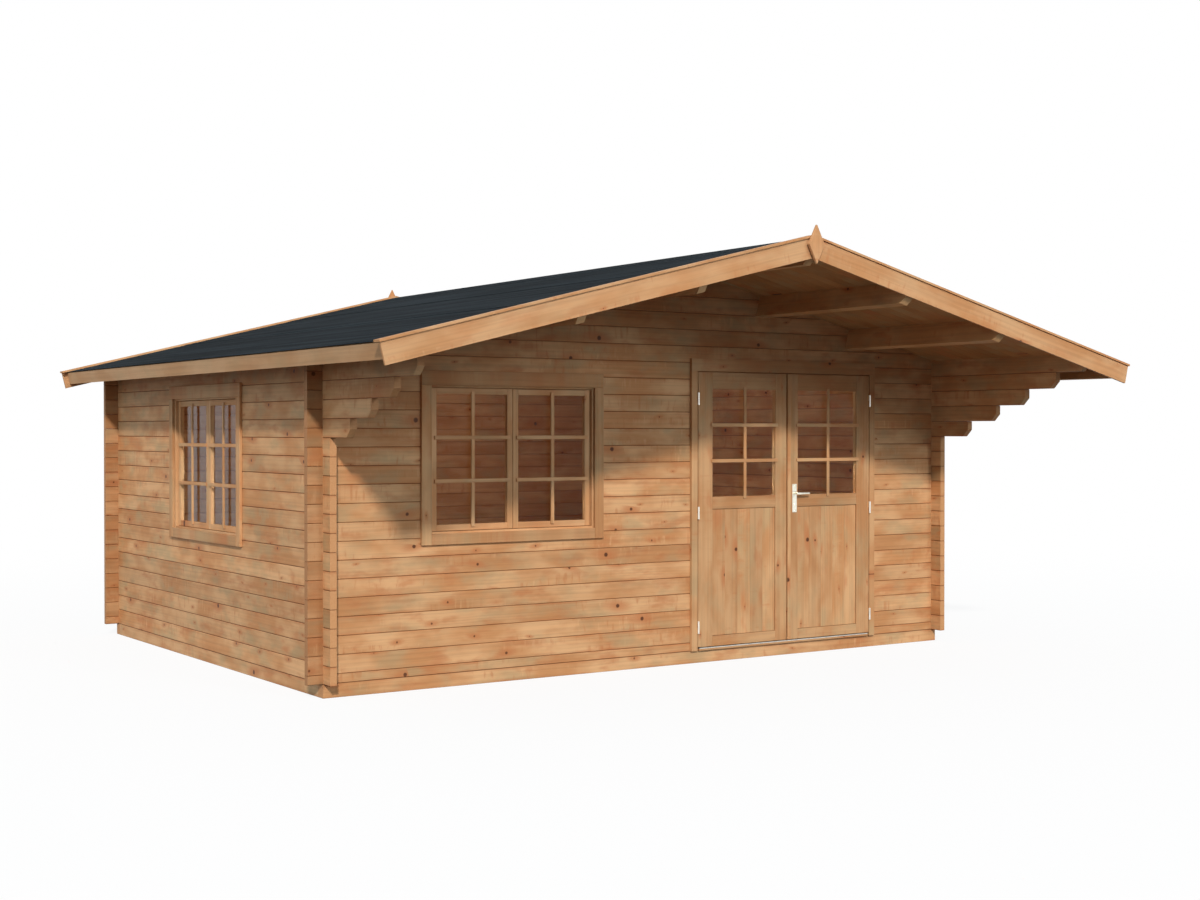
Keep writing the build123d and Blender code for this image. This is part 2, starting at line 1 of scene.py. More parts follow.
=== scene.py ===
"""Looks of a garden log cabin: weathered knotty softwood, lapped roof felt, glazed door and windows.

Metres, +Z up, the entrance faces -Y and the cabin stands on z = 0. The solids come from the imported
frame; the boards, glazing bars, felt strips and handle details are made here around them.
"""

import logging
import math
import random
from dataclasses import dataclass, field
from enum import Enum
from typing import Iterable, Optional, Protocol, Sequence, Union

import bmesh
import bpy
from mathutils import Matrix, Vector


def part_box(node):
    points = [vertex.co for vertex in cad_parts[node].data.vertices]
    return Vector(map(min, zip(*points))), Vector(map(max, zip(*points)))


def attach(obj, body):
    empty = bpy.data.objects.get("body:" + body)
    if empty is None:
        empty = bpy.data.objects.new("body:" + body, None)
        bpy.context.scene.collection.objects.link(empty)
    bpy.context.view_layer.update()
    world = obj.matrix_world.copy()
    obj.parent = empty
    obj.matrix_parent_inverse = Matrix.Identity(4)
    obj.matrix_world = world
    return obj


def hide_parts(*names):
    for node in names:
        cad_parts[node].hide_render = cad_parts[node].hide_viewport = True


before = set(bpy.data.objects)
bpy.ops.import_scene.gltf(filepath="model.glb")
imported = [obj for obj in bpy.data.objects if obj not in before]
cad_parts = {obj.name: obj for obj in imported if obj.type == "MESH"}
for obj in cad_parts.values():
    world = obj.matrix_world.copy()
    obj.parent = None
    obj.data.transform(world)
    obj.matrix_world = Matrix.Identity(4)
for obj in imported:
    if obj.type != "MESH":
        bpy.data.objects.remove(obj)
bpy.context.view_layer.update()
log = logging.getLogger("cabin")

Span = tuple[float, float]
Triple = tuple[float, float, float]
Colour = Triple
Number = Union["Tap", float]
Mesh = bmesh.types.BMesh
Material = bpy.types.Material

CABIN = "cabin"
BOARD_SPOT = "board_spot"
BOARD_TONE = "board_tone"
BOARD_END = "board_end"
WHITE: Colour = (1.0, 1.0, 1.0)
NOISE_MEAN = 0.5
END_FACING: Span = (0.75, 0.9)
TURNED_SIDES = 24

FRONT_WALL = -1.300
BACK_WALL = 2.600
SIDE_WALL = 2.550
LOG_PITCH = 0.114
BEAM_TOP = 0.085
DOOR_MIDDLE = 1.048
DOOR_FACE = -1.322
LEAF_THICKNESS = 0.040
BAR_WIDTH = 0.024
GLASS_THICKNESS = 0.004
GLASS_REBATE = 0.006
FIT = 0.0004


class Axis(Enum):
    """Direction in which a piece's grain or length runs."""

    X = 0
    Y = 1
    Z = 2

    @property
    def order(self) -> tuple[int, int, int]:
        """The axes along, across and through a board whose grain runs this way."""
        return {Axis.X: (0, 2, 1), Axis.Y: (1, 0, 2), Axis.Z: (2, 0, 1)}[self]


class NamedPlace(Enum):
    """A named place on the cabin."""

    @property
    def word(self) -> str:
        """The name as it stands in the names of pieces."""
        return self.name.lower()


class Side(NamedPlace):
    """Hand of a door leaf or roof slope, seen from the front."""

    LEFT = -1
    RIGHT = 1


class End(NamedPlace):
    """Front or back of the roof or of a door leaf; the value is the way it looks along y."""

    FRONT = -1
    BACK = 1


def rgba(colour: Colour) -> tuple[float, float, float, float]:
    """The colour with full opacity, as a node socket takes it."""
    return (*colour, 1.0)


class Tap:
    """A node's output, with arithmetic that adds Math nodes."""

    def __init__(self, paint: "Paint", socket: Optional[bpy.types.NodeSocket]) -> None:
        """Keep the socket and the paint it belongs to."""
        self.paint = paint
        self.socket = socket

    def other(self, name: str) -> "Tap":
        """Another output of the same node."""
        return Tap(self.paint, self.socket.node.outputs[name])

    def _math(self, operation: str, first: Number, second: Number = 0.0) -> "Tap":
        """One Math node on two values."""
        return self.paint.node("ShaderNodeMath", {"operation": operation}, {0: first, 1: second})

    def __add__(self, value: Number) -> "Tap":
        """Sum."""
        return self._math("ADD", self, value)

    def __radd__(self, value: Number) -> "Tap":
        """Sum, reflected."""
        return self._math("ADD", value, self)

    def __sub__(self, value: Number) -> "Tap":
        """Difference."""
        return self._math("SUBTRACT", self, value)

    def __rsub__(self, value: Number) -> "Tap":
        """Difference, reflected."""
        return self._math("SUBTRACT", value, self)

    def __mul__(self, value: Number) -> "Tap":
        """Product."""
        return self._math("MULTIPLY", self, value)

    def __rmul__(self, value: Number) -> "Tap":
        """Product, reflected."""
        return self._math("MULTIPLY", value, self)

    def __truediv__(self, value: Number) -> "Tap":
        """Quotient."""
        return self._math("DIVIDE", self, value)

    def __rtruediv__(self, value: Number) -> "Tap":
        """Quotient, reflected."""
        return self._math("DIVIDE", value, self)

    def __gt__(self, value: Number) -> "Tap":
        """1 where this is the greater, else 0."""
        return self._math("GREATER_THAN", self, value)

    def __abs__(self) -> "Tap":
        """Size without sign."""
        return self._math("ABSOLUTE", self)

    def floor(self) -> "Tap":
        """Next whole number below."""
        return self._math("FLOOR", self)

    def least(self, value: Number) -> "Tap":
        """The smaller of the two."""
        return self._math("MINIMUM", self, value)

    def most(self, value: Number) -> "Tap":
        """The greater of the two."""
        return self._math("MAXIMUM", self, value)

    def ramp(self, low: Number, high: Number) -> "Tap":
        """Smooth rise from 0 at low to 1 at high."""
        settings = {"interpolation_type": "SMOOTHSTEP"}
        return self.paint.node("ShaderNodeMapRange", settings, {0: self, 1: low, 2: high})


class Paint:
    """The node tree of one material or of the world."""

    def __init__(self, tree: bpy.types.NodeTree) -> None:
        """Start from an empty tree."""
        self.tree = tree
        tree.nodes.clear()

    @staticmethod
    def _find(sockets: bpy.types.bpy_prop_collection, key: Union[int, str]) -> bpy.types.NodeSocket:
        """Look a socket up.

        Args:
            sockets: A node's inputs or outputs.
            key: The socket's place, identifier or name.

        Returns:
            The socket.
        """
        for socket in sockets:
            if socket.identifier == key:
                return socket
        return sockets[key]

    def node(
        self,
        kind: str,
        settings: dict[str, object],
        sockets: dict[Union[int, str], object],
        output: Union[int, str] = 0,
    ) -> Tap:
        """Add one node.

        Args:
            kind: The node's type.
            settings: The node's own properties, set first.
            sockets: Values or taps for its inputs.
            output: The output to hand back.

        Returns:
            The chosen output, empty for a node that has none.
        """
        made = self.tree.nodes.new(kind)
        for key, value in settings.items():
            setattr(made, key, value)
        for key, value in sockets.items():
            target = self._find(made.inputs, key)
            if isinstance(value, Tap):
                self.tree.links.new(value.socket, target)
            else:
                target.default_value = value
        return Tap(self, self._find(made.outputs, output) if len(made.outputs) else None)

    def spot(self) -> Tap:
        """The place in object coordinates."""
        return self.node("ShaderNodeTexCoord", {}, {}, "Object")

    def stored(self, name: str, output: str) -> Tap:
        """A value that the mesh carries."""
        return self.node("ShaderNodeAttribute", {"attribute_name": name}, {}, output)

    def vector(self, x: Number, y: Number, z: Number) -> Tap:
        """Three values as one vector."""
        return self.node("ShaderNodeCombineXYZ", {}, {0: x, 1: y, 2: z})

    def split(self, vector: Tap) -> list[Tap]:
        """The three parts of a vector."""
        first = self.node("ShaderNodeSeparateXYZ", {}, {0: vector})
        return [first, first.other("Y"), first.other("Z")]

    def length(self, vector: Tap) -> Tap:
        """How long a vector is."""
        return self.node("ShaderNodeVectorMath", {"operation": "LENGTH"}, {0: vector}, "Value")

    def blend(self, share: Number, first: object, second: object, how: str = "MIX") -> Tap:
        """Mix two colours.

        Args:
            share: How much of the second shows.
            first: Colour, grey value or tap.
            second: Colour, grey value or tap.
            how: The Mix node's blend type.

        Returns:
            The mixed colour.
        """
        sockets = {"Factor_Float": share, "A_Color": first, "B_Color": second}
        for key in ("A_Color", "B_Color"):
            if isinstance(sockets[key], float):
                sockets[key] = (sockets[key],) * 3
            if isinstance(sockets[key], tuple):
                sockets[key] = rgba(sockets[key])
        settings = {"data_type": "RGBA", "blend_type": how}
        return self.node("ShaderNodeMix", settings, sockets, "Result_Color")

    def scaled(self, colour: Tap, value: Number) -> Tap:
        """A colour made lighter or darker by a value."""
        return self.blend(1.0, colour, value, "MULTIPLY")

    def bump(self, height: Tap, strength: float, distance: float) -> Tap:
        """Normal from a height."""
        sockets = {"Strength": strength, "Distance": distance, "Height": height}
        return self.node("ShaderNodeBump", {}, sockets)

    def principled(self, sockets: dict[str, object]) -> Tap:
        """A Principled shader with some of its inputs set."""
        return self.node("ShaderNodeBsdfPrincipled", {}, sockets)

    def finish(self, shader: Tap) -> None:
        """Show a shader on the surface."""
        self.node("ShaderNodeOutputMaterial", {}, {"Surface": shader})

    def seen(self) -> Tap:
        """1 for rays from the camera, a mirror or glass, else 0."""
        camera = self.node("ShaderNodeLightPath", {}, {}, "Is Camera Ray")
        return camera.most(camera.other("Is Glossy Ray")).most(camera.other("Is Transmission Ray"))


def new_material(name: str) -> tuple[Material, Paint]:
    """Start a material.

    Args:
        name: Its name.

    Returns:
        The empty material and the paint of its nodes.
    """
    material = bpy.data.materials.new(name)
    material.use_nodes = True
    return material, Paint(material.node_tree)


@dataclass(frozen=True)
class Pattern:
    """Noise on a surface: how often it changes in a metre each way, and which part of it shows.

    Start and layer move it along its first and last way, so that patterns in one place differ.
    """

    rates: Triple
    start: float = 0.0
    layer: float = 0.0
    detail: float = 2.0
    fade: Optional[Span] = None

    def read(self, paint: Paint, spot: Sequence[Number]) -> Tap:
        """Add the pattern's nodes.

        Args:
            paint: Where the nodes go.
            spot: The place each way.

        Returns:
            The noise, which rises from 0 to 1 over the fade where the pattern has one.
        """
        first, second, third = (part * rate for part, rate in zip(spot, self.rates))
        place = paint.vector(first + self.start, second, third + self.layer)
        sockets = {"Vector": place, "Scale": 1.0, "Detail": self.detail}
        noise = paint.node("ShaderNodeTexNoise", {}, sockets)
        return noise.ramp(*self.fade) if self.fade else noise


@dataclass
class Grain:
    """Where a point lies in the wood it was sawn from."""

    along: Number
    across: Number
    depth: Number
    tone: Number
    end: Number
    rim: Optional[Tap] = None
    stub: Optional[Tap] = None

    @property
    def spot(self) -> tuple[Number, Number, Number]:
        """The place along, across and through the wood."""
        return self.along, self.across, self.depth


class GrainSource(Protocol):
    """Something that tells a wood finish how the grain runs."""

    tag: str

    def read(self, paint: Paint) -> Grain:
        """Add the nodes that find the grain."""


def cut_face(paint: Paint, facing: Tap, axis: Axis) -> Tap:
    """1 on faces that look along the grain, else 0."""
    return abs(paint.split(facing)[axis.value]).ramp(*END_FACING)


@dataclass(frozen=True)
class BoardGrain:
    """Grain that each board of a made piece carries in its mesh."""

    tag: str = "boards"

    def read(self, paint: Paint) -> Grain:
        """Read the board's own place, tone and ends.

        Args:
            paint: Where the nodes go.

        Returns:
            The grain at a point of the board.
        """
        along, across, depth = paint.split(paint.stored(BOARD_SPOT, "Vector"))
        tone, end = (paint.stored(name, "Fac") for name in (BOARD_TONE, BOARD_END))
        return Grain(along, across, depth, tone, end)


@dataclass(frozen=True)
class SolidGrain:
    """Grain of one solid, read from where it lies.

    The turn about Y lays a sloping piece level first.
    """

    tag: str
    axis: Axis
    seed: int
    turn: float = 0.0
    along_luck: Span = (3.0, 40.0)
    across_luck: Span = (1.0, 9.0)
    tone_luck: Span = (0.2, 0.8)

    def read(self, paint: Paint) -> Grain:
        """Find the place from object coordinates, moved by the seed's luck.

        Args:
            paint: Where the nodes go.

        Returns:
            The grain at a point of the solid.
        """
        luck = random.Random(self.seed)
        spot = paint.spot()
        facing = spot.other("Normal")
        if self.turn:
            spot, facing = (
                paint.node("ShaderNodeMapping", {}, {"Vector": v, "Rotation": (0.0, self.turn, 0.0)})
                for v in (spot, facing)
            )
        parts = paint.split(spot)
        along = parts.pop(self.axis.value) + luck.uniform(*self.along_luck)
        across = parts.pop() + luck.uniform(*self.across_luck)
        tone = luck.uniform(*self.tone_luck)
        return Grain(along, across, parts.pop(), tone, cut_face(paint, facing, self.axis))


@dataclass(frozen=True)
class LogGrain:
    """Grain of a stack of logs: each course is a log of its own, dark along its joints.

    Past cross, the outer face of the walls that they run through, the logs are stubs.
    """

    tag: str
    axis: Axis
    foot: float
    seed: int
    courses: int = 99
    pitch: float = LOG_PITCH
    bottom: float = BEAM_TOP
    cross: Optional[float] = None
    cross_edge: float = 0.002
    luck_step: float = 1.37
    along_reach: float = 40.0
    across_reach: float = 7.0

    def read(self, paint: Paint) -> Grain:
        """Find the course from the height, and a place in that course's log.

        Args:
            paint: Where the nodes go.

        Returns:
            The grain at a point of the stack.
        """
        spot = paint.spot()
        x, y, z = paint.split(spot)
        along, depth = (x, y) if self.axis is Axis.X else (y, x)
        top = self.courses - 1.0
        height = z - self.foot
        course = (height / self.pitch).floor().least(top)
        across = height - course * self.pitch
        sockets = {"W": course * self.luck_step + self.seed}
        luck = paint.node("ShaderNodeTexWhiteNoise", {"noise_dimensions": "1D"}, sockets, "Value")
        shift, lift, _ = paint.split(luck.other("Color"))
        # The top course has no joint above it, so the distance to one is put out of reach.
        above = self.pitch - across + (course > top - 0.5)
        stub = None
        if self.cross:
            stub = abs(x).ramp(self.cross - self.cross_edge, self.cross + self.cross_edge)
        return Grain(
            along=along + shift * self.along_reach,
            across=across + lift * self.across_reach,
            depth=depth,
            tone=luck,
            end=cut_face(paint, spot.other("Normal"), self.axis),
            rim=across.least(above).least(z - self.bottom),
            stub=stub,
        )


@dataclass(frozen=True)
class Knots:
    """Knots scattered through wood, most of them small, with redder wood that flows round them.

    Run and row are their usual distances along and across the grain, and share is how many of those
    places have one. The edges are shares of a knot's radius.
    """

    share: float = 0.36
    run: float = 0.46
    row: float = 0.105
    least_radius: float = 0.0036
    added_radius: float = 0.0120
    faintest: float = 0.62
    edge: Span = (0.7, 1.3)
    ragged: Pattern = Pattern((110.0, 110.0, 0.0))
    ragged_reach: float = 0.005
    flow_along: float = 0.42
    flow_edge: Span = (0.6, 4.6)
    flow_ragged: float = 2.0

    def read(self, paint: Paint, grain: Grain) -> tuple[Tap, Tap]:
        """Find the nearest knot.

        Args:
            paint: Where the nodes go.
            grain: The place in the wood.

        Returns:
            The knots themselves and the redder wood that flows round them.
        """
        cell = paint.vector(grain.along / self.run, grain.across / self.row, 0.0)
        settings = {"voronoi_dimensions": "2D", "feature": "F1"}
        nearest = paint.node("ShaderNodeTexVoronoi", settings, {"Vector": cell, "Scale": 1.0}, "Position")
        away = paint.node("ShaderNodeVectorMath", {"operation": "SUBTRACT"}, {0: nearest, 1: cell})
        x, y, _ = paint.split(away)
        long, tall = x * self.run, y * self.row
        luck, size, slant = paint.split(nearest.other("Color"))
        there = luck > 1.0 - self.share
        radius = self.least_radius + size * size * size * self.added_radius
        noise = self.ragged.read(paint, (grain.along, grain.across, 0.0))
        ragged = (noise - NOISE_MEAN) * self.ragged_reach
        reach = paint.length(paint.vector(long, tall, 0.0)) + ragged
        knot = 1.0 - reach.ramp(*(radius * edge for edge in self.edge))
        strength = self.faintest + size * (1.0 - self.faintest)
        lean = paint.vector(long * self.flow_along + tall * (slant - NOISE_MEAN), tall, 0.0)
        flow = paint.length(lean) + ragged * self.flow_ragged
        halo = 1.0 - flow.ramp(*(radius * edge for edge in self.flow_edge))
        return knot * there * strength, halo * there


@dataclass(frozen=True)
class WoodFinish:
    """Oiled knotty softwood, a little weathered."""

    name: str
    pale: Colour = (0.655, 0.380, 0.188)
    warm: Colour = (0.510, 0.242, 0.098)
    rust: Colour = (0.470, 0.172, 0.064)
    olive: Colour = (0.410, 0.295, 0.155)
    heart: Colour = (0.075, 0.024, 0.010)
    cut_end: Colour = (0.560, 0.290, 0.132)
    crack: Colour = (0.165, 0.054, 0.015)
    rust_share: float = 0.56
    olive_share: float = 0.60
    streak_share: float = 0.50
    tone_spread: float = 0.17
    stub_share: float = 0.36
    joint_share: float = 0.70
    joint_width: Span = (0.0007, 0.0034)
    bleed_share: float = 0.5
    bleed_width: Span = (0.0020, 0.0240)
    bleed_spots: Pattern = Pattern((2.6, 1.0, 9.0), start=3.0, detail=3.0, fade=(0.48, 0.66))
    bleed_row: float = 0.5
    knots: Knots = Knots()
    heart_share: float = 0.94
    halo_share: float = 0.72
    ring_share: float = 0.5
    rings: Pattern = Pattern((2.0, 130.0, 60.0), detail=3.0, fade=(0.35, 0.65))
    sway: Pattern = Pattern((1.1, 2.0, 2.0))
    sway_reach: float = 0.035
    halo_reach: float = 0.012
    figure: Pattern = Pattern((0.7, 60.0, 60.0), detail=3.0, fade=(0.38, 0.68))
    figure_light: float = 1.04
    figure_dark: float = 0.12
    figure_height: float = 0.3
    fibre: Pattern = Pattern((10.0, 420.0, 420.0))
    fibre_dark: float = 0.94
    fibre_light: float = 0.12
    fibre_height: float = 0.4
    cloud: Pattern = Pattern((2.3, 5.0, 1.0), start=7.0, layer=5.0, detail=3.0, fade=(0.34, 0.66))
    rust_patch: Pattern = Pattern((4.4, 11.0, 1.0), start=17.0, layer=3.0, detail=4.0, fade=(0.52, 0.72))
    olive_patch: Pattern = Pattern((3.8, 7.0, 1.0), start=51.0, layer=9.0, detail=3.0, fade=(0.46, 0.74))
    streak_patch: Pattern = Pattern((1.3, 9.0, 1.0), start=29.0, layer=1.0, fade=(0.48, 0.62))
    streak: Pattern = Pattern((34.0, 7.0, 1.0), layer=2.0, detail=3.0)
    streak_sway: float = 4.0 / 7.0
    streak_pale: Span = (0.56, 0.72)
    streak_rust: Span = (0.30, 0.44)
    roughness: float = 0.62
    knot_polish: float = 0.12
    knot_height: float = 0.4
    specular: float = 0.18
    relief: float = 0.30
    relief_height: float = 0.0010

    def _body(self, paint: Paint, grain: Grain, halo: Tap) -> tuple[Tap, Tap]:
        """Colour and height of the wood between its knots.

        Args:
            paint: Where the nodes go.
            grain: The place in the wood.
            halo: The wood that flows round the knots.

        Returns:
            The colour, and the height of its fine grain.
        """
        sway = self.sway.read(paint, grain.spot) - NOISE_MEAN
        lane = grain.across + sway * self.sway_reach + halo * self.halo_reach
        figure, fibre = (
            pattern.read(paint, (grain.along, lane, grain.depth)) for pattern in (self.figure, self.fibre)
        )
        cloud, rust, olive, patch = (
            pattern.read(paint, grain.spot)
            for pattern in (self.cloud, self.rust_patch, self.olive_patch, self.streak_patch)
        )
        row = grain.across + sway * self.streak_sway
        streak = self.streak.read(paint, (grain.along, row, grain.depth))
        pale_streak = streak.ramp(*self.streak_pale) * patch
        rust_streak = (1.0 - streak.ramp(*self.streak_rust)) * patch
        colour = paint.blend(cloud, self.warm, self.pale)
        colour = paint.blend(rust * self.rust_share, colour, self.rust)
        colour = paint.blend(olive * self.olive_share, colour, self.olive)
        colour = paint.blend(pale_streak * self.streak_share, colour, self.pale)
        colour = paint.blend(rust_streak * self.streak_share, colour, self.rust)
        colour = paint.scaled(colour, self.figure_light - figure * self.figure_dark)
        colour = paint.scaled(colour, self.fibre_dark + fibre * self.fibre_light)
        return colour, figure * self.figure_height + fibre * self.fibre_height

    def _joints(self, paint: Paint, grain: Grain, colour: Tap) -> Tap:
        """Darken a log along its joints.

        Args:
            paint: Where the nodes go.
            grain: The place in a log that has a rim.
            colour: The log's colour.

        Returns:
            The colour with dark joints and, in spots, a rusty bleed beside them.
        """
        spots = self.bleed_spots.read(paint, (grain.along, self.bleed_row, grain.tone))
        bleed = (1.0 - grain.rim.ramp(*self.bleed_width)) * spots
        colour = paint.blend(bleed * self.bleed_share, colour, self.rust)
        joint = 1.0 - grain.rim.ramp(*self.joint_width)
        return paint.blend(joint * self.joint_share, colour, self.crack)

    def material(self, source: GrainSource) -> Material:
        """The finish on wood whose grain a source tells.

        Args:
            source: How the grain runs.

        Returns:
            A new material.
        """
        material, paint = new_material(f"{self.name}.{source.tag}")
        grain = source.read(paint)
        knot, halo = self.knots.read(paint, grain)
        colour, height = self._body(paint, grain, halo)
        colour = paint.scaled(colour, 1.0 - self.tone_spread / 2 + grain.tone * self.tone_spread)
        colour = paint.blend(halo * self.halo_share, colour, self.rust)
        colour = paint.blend(knot * self.heart_share, colour, self.heart)
        rings = self.rings.read(paint, grain.spot) * self.ring_share
        colour = paint.blend(grain.end, colour, paint.blend(rings, self.cut_end, self.warm))
        if grain.stub:
            colour = paint.blend(grain.stub * self.stub_share, colour, self.crack)
        if grain.rim:
            colour = self._joints(paint, grain, colour)
        sockets = {
            "Base Color": colour,
            "Roughness": self.roughness - knot * self.knot_polish,
            "Specular IOR Level": self.specular,
            "Normal": paint.bump(height + knot * self.knot_height, self.relief, self.relief_height),
        }
        paint.finish(paint.principled(sockets))
        return material

    def boards(self) -> Material:
        """The finish on boards that carry their grain in their mesh."""
        return self.material(BoardGrain())


@dataclass(frozen=True)
class FeltFinish:
    """Bitumen roof felt with a slate-blue mineral face, streaked along the roof."""

    name: str
    bitumen: Colour = (0.0035, 0.0062, 0.0085)
    slate: Colour = (0.0150, 0.0215, 0.0265)
    dust: Colour = (0.0300, 0.0390, 0.0450)
    streak: Pattern = Pattern((17.0, 0.55, 5.0), detail=5.0)
    streak_fade: Span = (0.38, 0.66)
    streak_height: float = 0.5
    cloud: Pattern = Pattern((1.4, 0.8, 1.0), start=4.0, detail=3.0, fade=(0.45, 0.75))
    cloud_share: float = 0.45
    grit: Pattern = Pattern((520.0, 520.0, 520.0), detail=1.0)
    grit_fade: Span = (0.58, 0.78)
    grit_share: float = 0.35
    roughness: float = 0.80
    grit_roughness: float = 0.15
    specular: float = 0.03
    relief: float = 0.5
    relief_height: float = 0.0012

    def material(self) -> Material:
        """The felt on object coordinates.

        Returns:
            A new material.
        """
        material, paint = new_material(self.name)
        spot = paint.split(paint.spot())
        streak, cloud, grit = (
            pattern.read(paint, spot) for pattern in (self.streak, self.cloud, self.grit)
        )
        colour = paint.blend(streak.ramp(*self.streak_fade), self.bitumen, self.slate)
        colour = paint.blend(cloud * self.cloud_share, colour, self.slate)
        colour = paint.blend(grit.ramp(*self.grit_fade) * self.grit_share, colour, self.dust)
        height = grit + streak * self.streak_height
        sockets = {
            "Base Color": colour,
            "Roughness": self.roughness + grit * self.grit_roughness,
            "Specular IOR Level": self.specular,
            "Normal": paint.bump(height, self.relief, self.relief_height),
        }
        paint.finish(paint.principled(sockets))
        return material


@dataclass(frozen=True)
class MetalFinish:
    """Brushed metal, the brush marks along one axis."""

    name: str
    colour: Colour
    worn: Colour
    roughness: float
    axis: Axis
    mark_rate: float = 900.0
    along_rate: float = 14.0
    mark_roughness: float = 0.12
    wear: Pattern = Pattern((35.0, 35.0, 35.0), detail=3.0, fade=(0.4, 0.7))
    relief: float = 0.15
    relief_height: float = 0.0004

    def material(self) -> Material:
        """The metal on object coordinates.

        Returns:
            A new material.
        """
        material, paint = new_material(self.name)
        spot = paint.split(paint.spot())
        rates = [self.mark_rate] * 3
        rates[self.axis.value] = self.along_rate
        marks = Pattern(tuple(rates)).read(paint, spot)
        sockets = {
            "Base Color": paint.blend(self.wear.read(paint, spot), self.colour, self.worn),
            "Metallic": 1.0,
            "Roughness": self.roughness + marks * self.mark_roughness,
            "Normal": paint.bump(marks, self.relief, self.relief_height),
        }
        paint.finish(paint.principled(sockets))
        return material


@dataclass(frozen=True)
class GlassFinish:
    """Clear window glass that lets the lamps through."""

    name: str
    tint: Colour = (0.93, 0.95, 0.94)
    ior: float = 1.16
    haze: Pattern = Pattern((3.0, 3.0, 3.0), detail=4.0, fade=(0.45, 0.9))
    haze_roughness: float = 0.06

    def material(self) -> Material:
        """Glass with a breath of dust in its polish.

        Returns:
            A new material.
        """
        material, paint = new_material(self.name)
        haze = self.haze.read(paint, paint.split(paint.spot()))
        sockets = {
            "Base Color": rgba(self.tint),
            "Roughness": haze * self.haze_roughness,
            "IOR": self.ior,
            "Transmission Weight": 1.0,
        }
        pane = paint.principled(sockets)
        clear = paint.node("ShaderNodeBsdfTransparent", {}, {"Color": rgba(self.tint)})
        lamp = paint.node("ShaderNodeLightPath", {}, {}, "Is Shadow Ray")
        paint.finish(paint.node("ShaderNodeMixShader", {}, {0: lamp, 1: pane, 2: clear}))
        return material


LOG_WOOD = WoodFinish("log_wood")
SIDE_WOOD = WoodFinish(
    "side_log_wood", olive_share=0.68, joint_share=0.80, joint_width=(0.0009, 0.0042), tone_spread=0.25
)
# Painted shade: a darker copy of the log wood for the back wall. It stands in for the dim light in the room
# behind the glass and on the back wall's stubs.
PAINTED_SHADE_BACK_WOOD = WoodFinish(
    "back_log_wood_painted_shade",
    pale=(0.540, 0.305, 0.148),
    warm=(0.425, 0.198, 0.080),
    rust=(0.390, 0.143, 0.053),
    olive=(0.350, 0.245, 0.128),
    cut_end=(0.450, 0.232, 0.105),
    stub_share=0.06,
)
TRIM_WOOD = WoodFinish(
    "trim_wood", pale=(0.600, 0.345, 0.172), rust_share=0.28, olive_share=0.16, knots=Knots(share=0.16)
)
EAVES_WOOD = WoodFinish(
    "eaves_wood",
    pale=(0.580, 0.350, 0.185),
    warm=(0.500, 0.272, 0.127),
    rust_share=0.10,
    olive_share=0.30,
    streak_share=0.10,
    knots=Knots(share=0.06),
)
JOINERY_WOOD = WoodFinish(
    "joinery_wood",
    pale=(0.570, 0.332, 0.163),
    warm=(0.475, 0.230, 0.095),
    rust_share=0.48,
    olive_share=0.56,
    streak_share=0.30,
    knots=Knots(share=0.34),
    tone_spread=0.23,
)
# Painted light: a lighter copy of the joinery wood for the sashes and glazing bars, which brightens them
# where they stand in the shade under the roof.
PAINTED_LIGHT_SASH_WOOD = WoodFinish(
    "sash_wood_painted_light",
    pale=(0.650, 0.385, 0.195),
    warm=(0.560, 0.278, 0.118),
    rust_share=0.30,
    olive_share=0.40,
    streak_share=0.20,
    knots=Knots(share=0.10),
    tone_spread=0.18,
)
BEAM_WOOD = WoodFinish("beam_wood", pale=(0.660, 0.390, 0.185), warm=(0.560, 0.295, 0.125))
# Painted shade: the roof boards, seen from below, get a darker copy of the log wood that stands in for the
# shade under the roof.
PAINTED_SHADE_DECK_WOOD = WoodFinish("deck_wood_painted_shade", pale=(0.470, 0.245, 0.098), warm=(0.370, 0.170, 0.058))
FELT = FeltFinish("roof_felt")
GLASS = GlassFinish("window_glass")
HINGE_STEEL = MetalFinish("hinge_steel", (0.80, 0.77, 0.70), (0.68, 0.65, 0.58), 0.30, Axis.Z)
HANDLE_STEEL = MetalFinish("handle_steel", (0.88, 0.86, 0.74), (0.76, 0.73, 0.60), 0.22, Axis.Z)
SILL_METAL = MetalFinish("threshold_metal", (0.58, 0.54, 0.48), (0.46, 0.43, 0.38), 0.42, Axis.X)


def dress(node: str, material: Material) -> None:
    """Give a node of the frame its material.

    Args:
        node: The node's name.
        material: What it is dressed in.
    """
    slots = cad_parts[node].data.materials
    slots.clear()
    slots.append(material)
    log.info("%s: dressed in %s", node, material.name)


def put(name: str, data: bpy.types.ID) -> bpy.types.Object:
    """Put an object into the scene.

    Args:
        name: The object's name.
        data: Its mesh, lamp or camera.

    Returns:
        The new object, at the origin.
    """
    made = bpy.data.objects.new(name, data)
    bpy.context.scene.collection.objects.link(made)
    return made


def settle(
    name: str,
    mesh: Mesh,
    material: Material,
    body: str,
    replaced: Optional[str] = None,
) -> None:
    """Make a finished mesh a piece of the cabin.

    Args:
        name: The piece's name.
        mesh: Its mesh, in place; freed here.
        material: Its material.
        body: The body it rides on.
        replaced: The node of the frame that it stands for.
    """
    data = bpy.data.meshes.new(name)
    mesh.to_mesh(data)
    mesh.free()
    data.materials.append(material)
    piece = put(name, data)
    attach(piece, body)
    if replaced:
        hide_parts(replaced)
    log.info("%s: %d faces on %s", name, len(data.polygons), body)


def seat_between(low: Vector, high: Vector) -> Matrix:
    """Matrix that takes a unit cube to the box between two corners."""
    return Matrix.Translation((low + high) / 2) @ Matrix.Diagonal((*(high - low), 1.0))


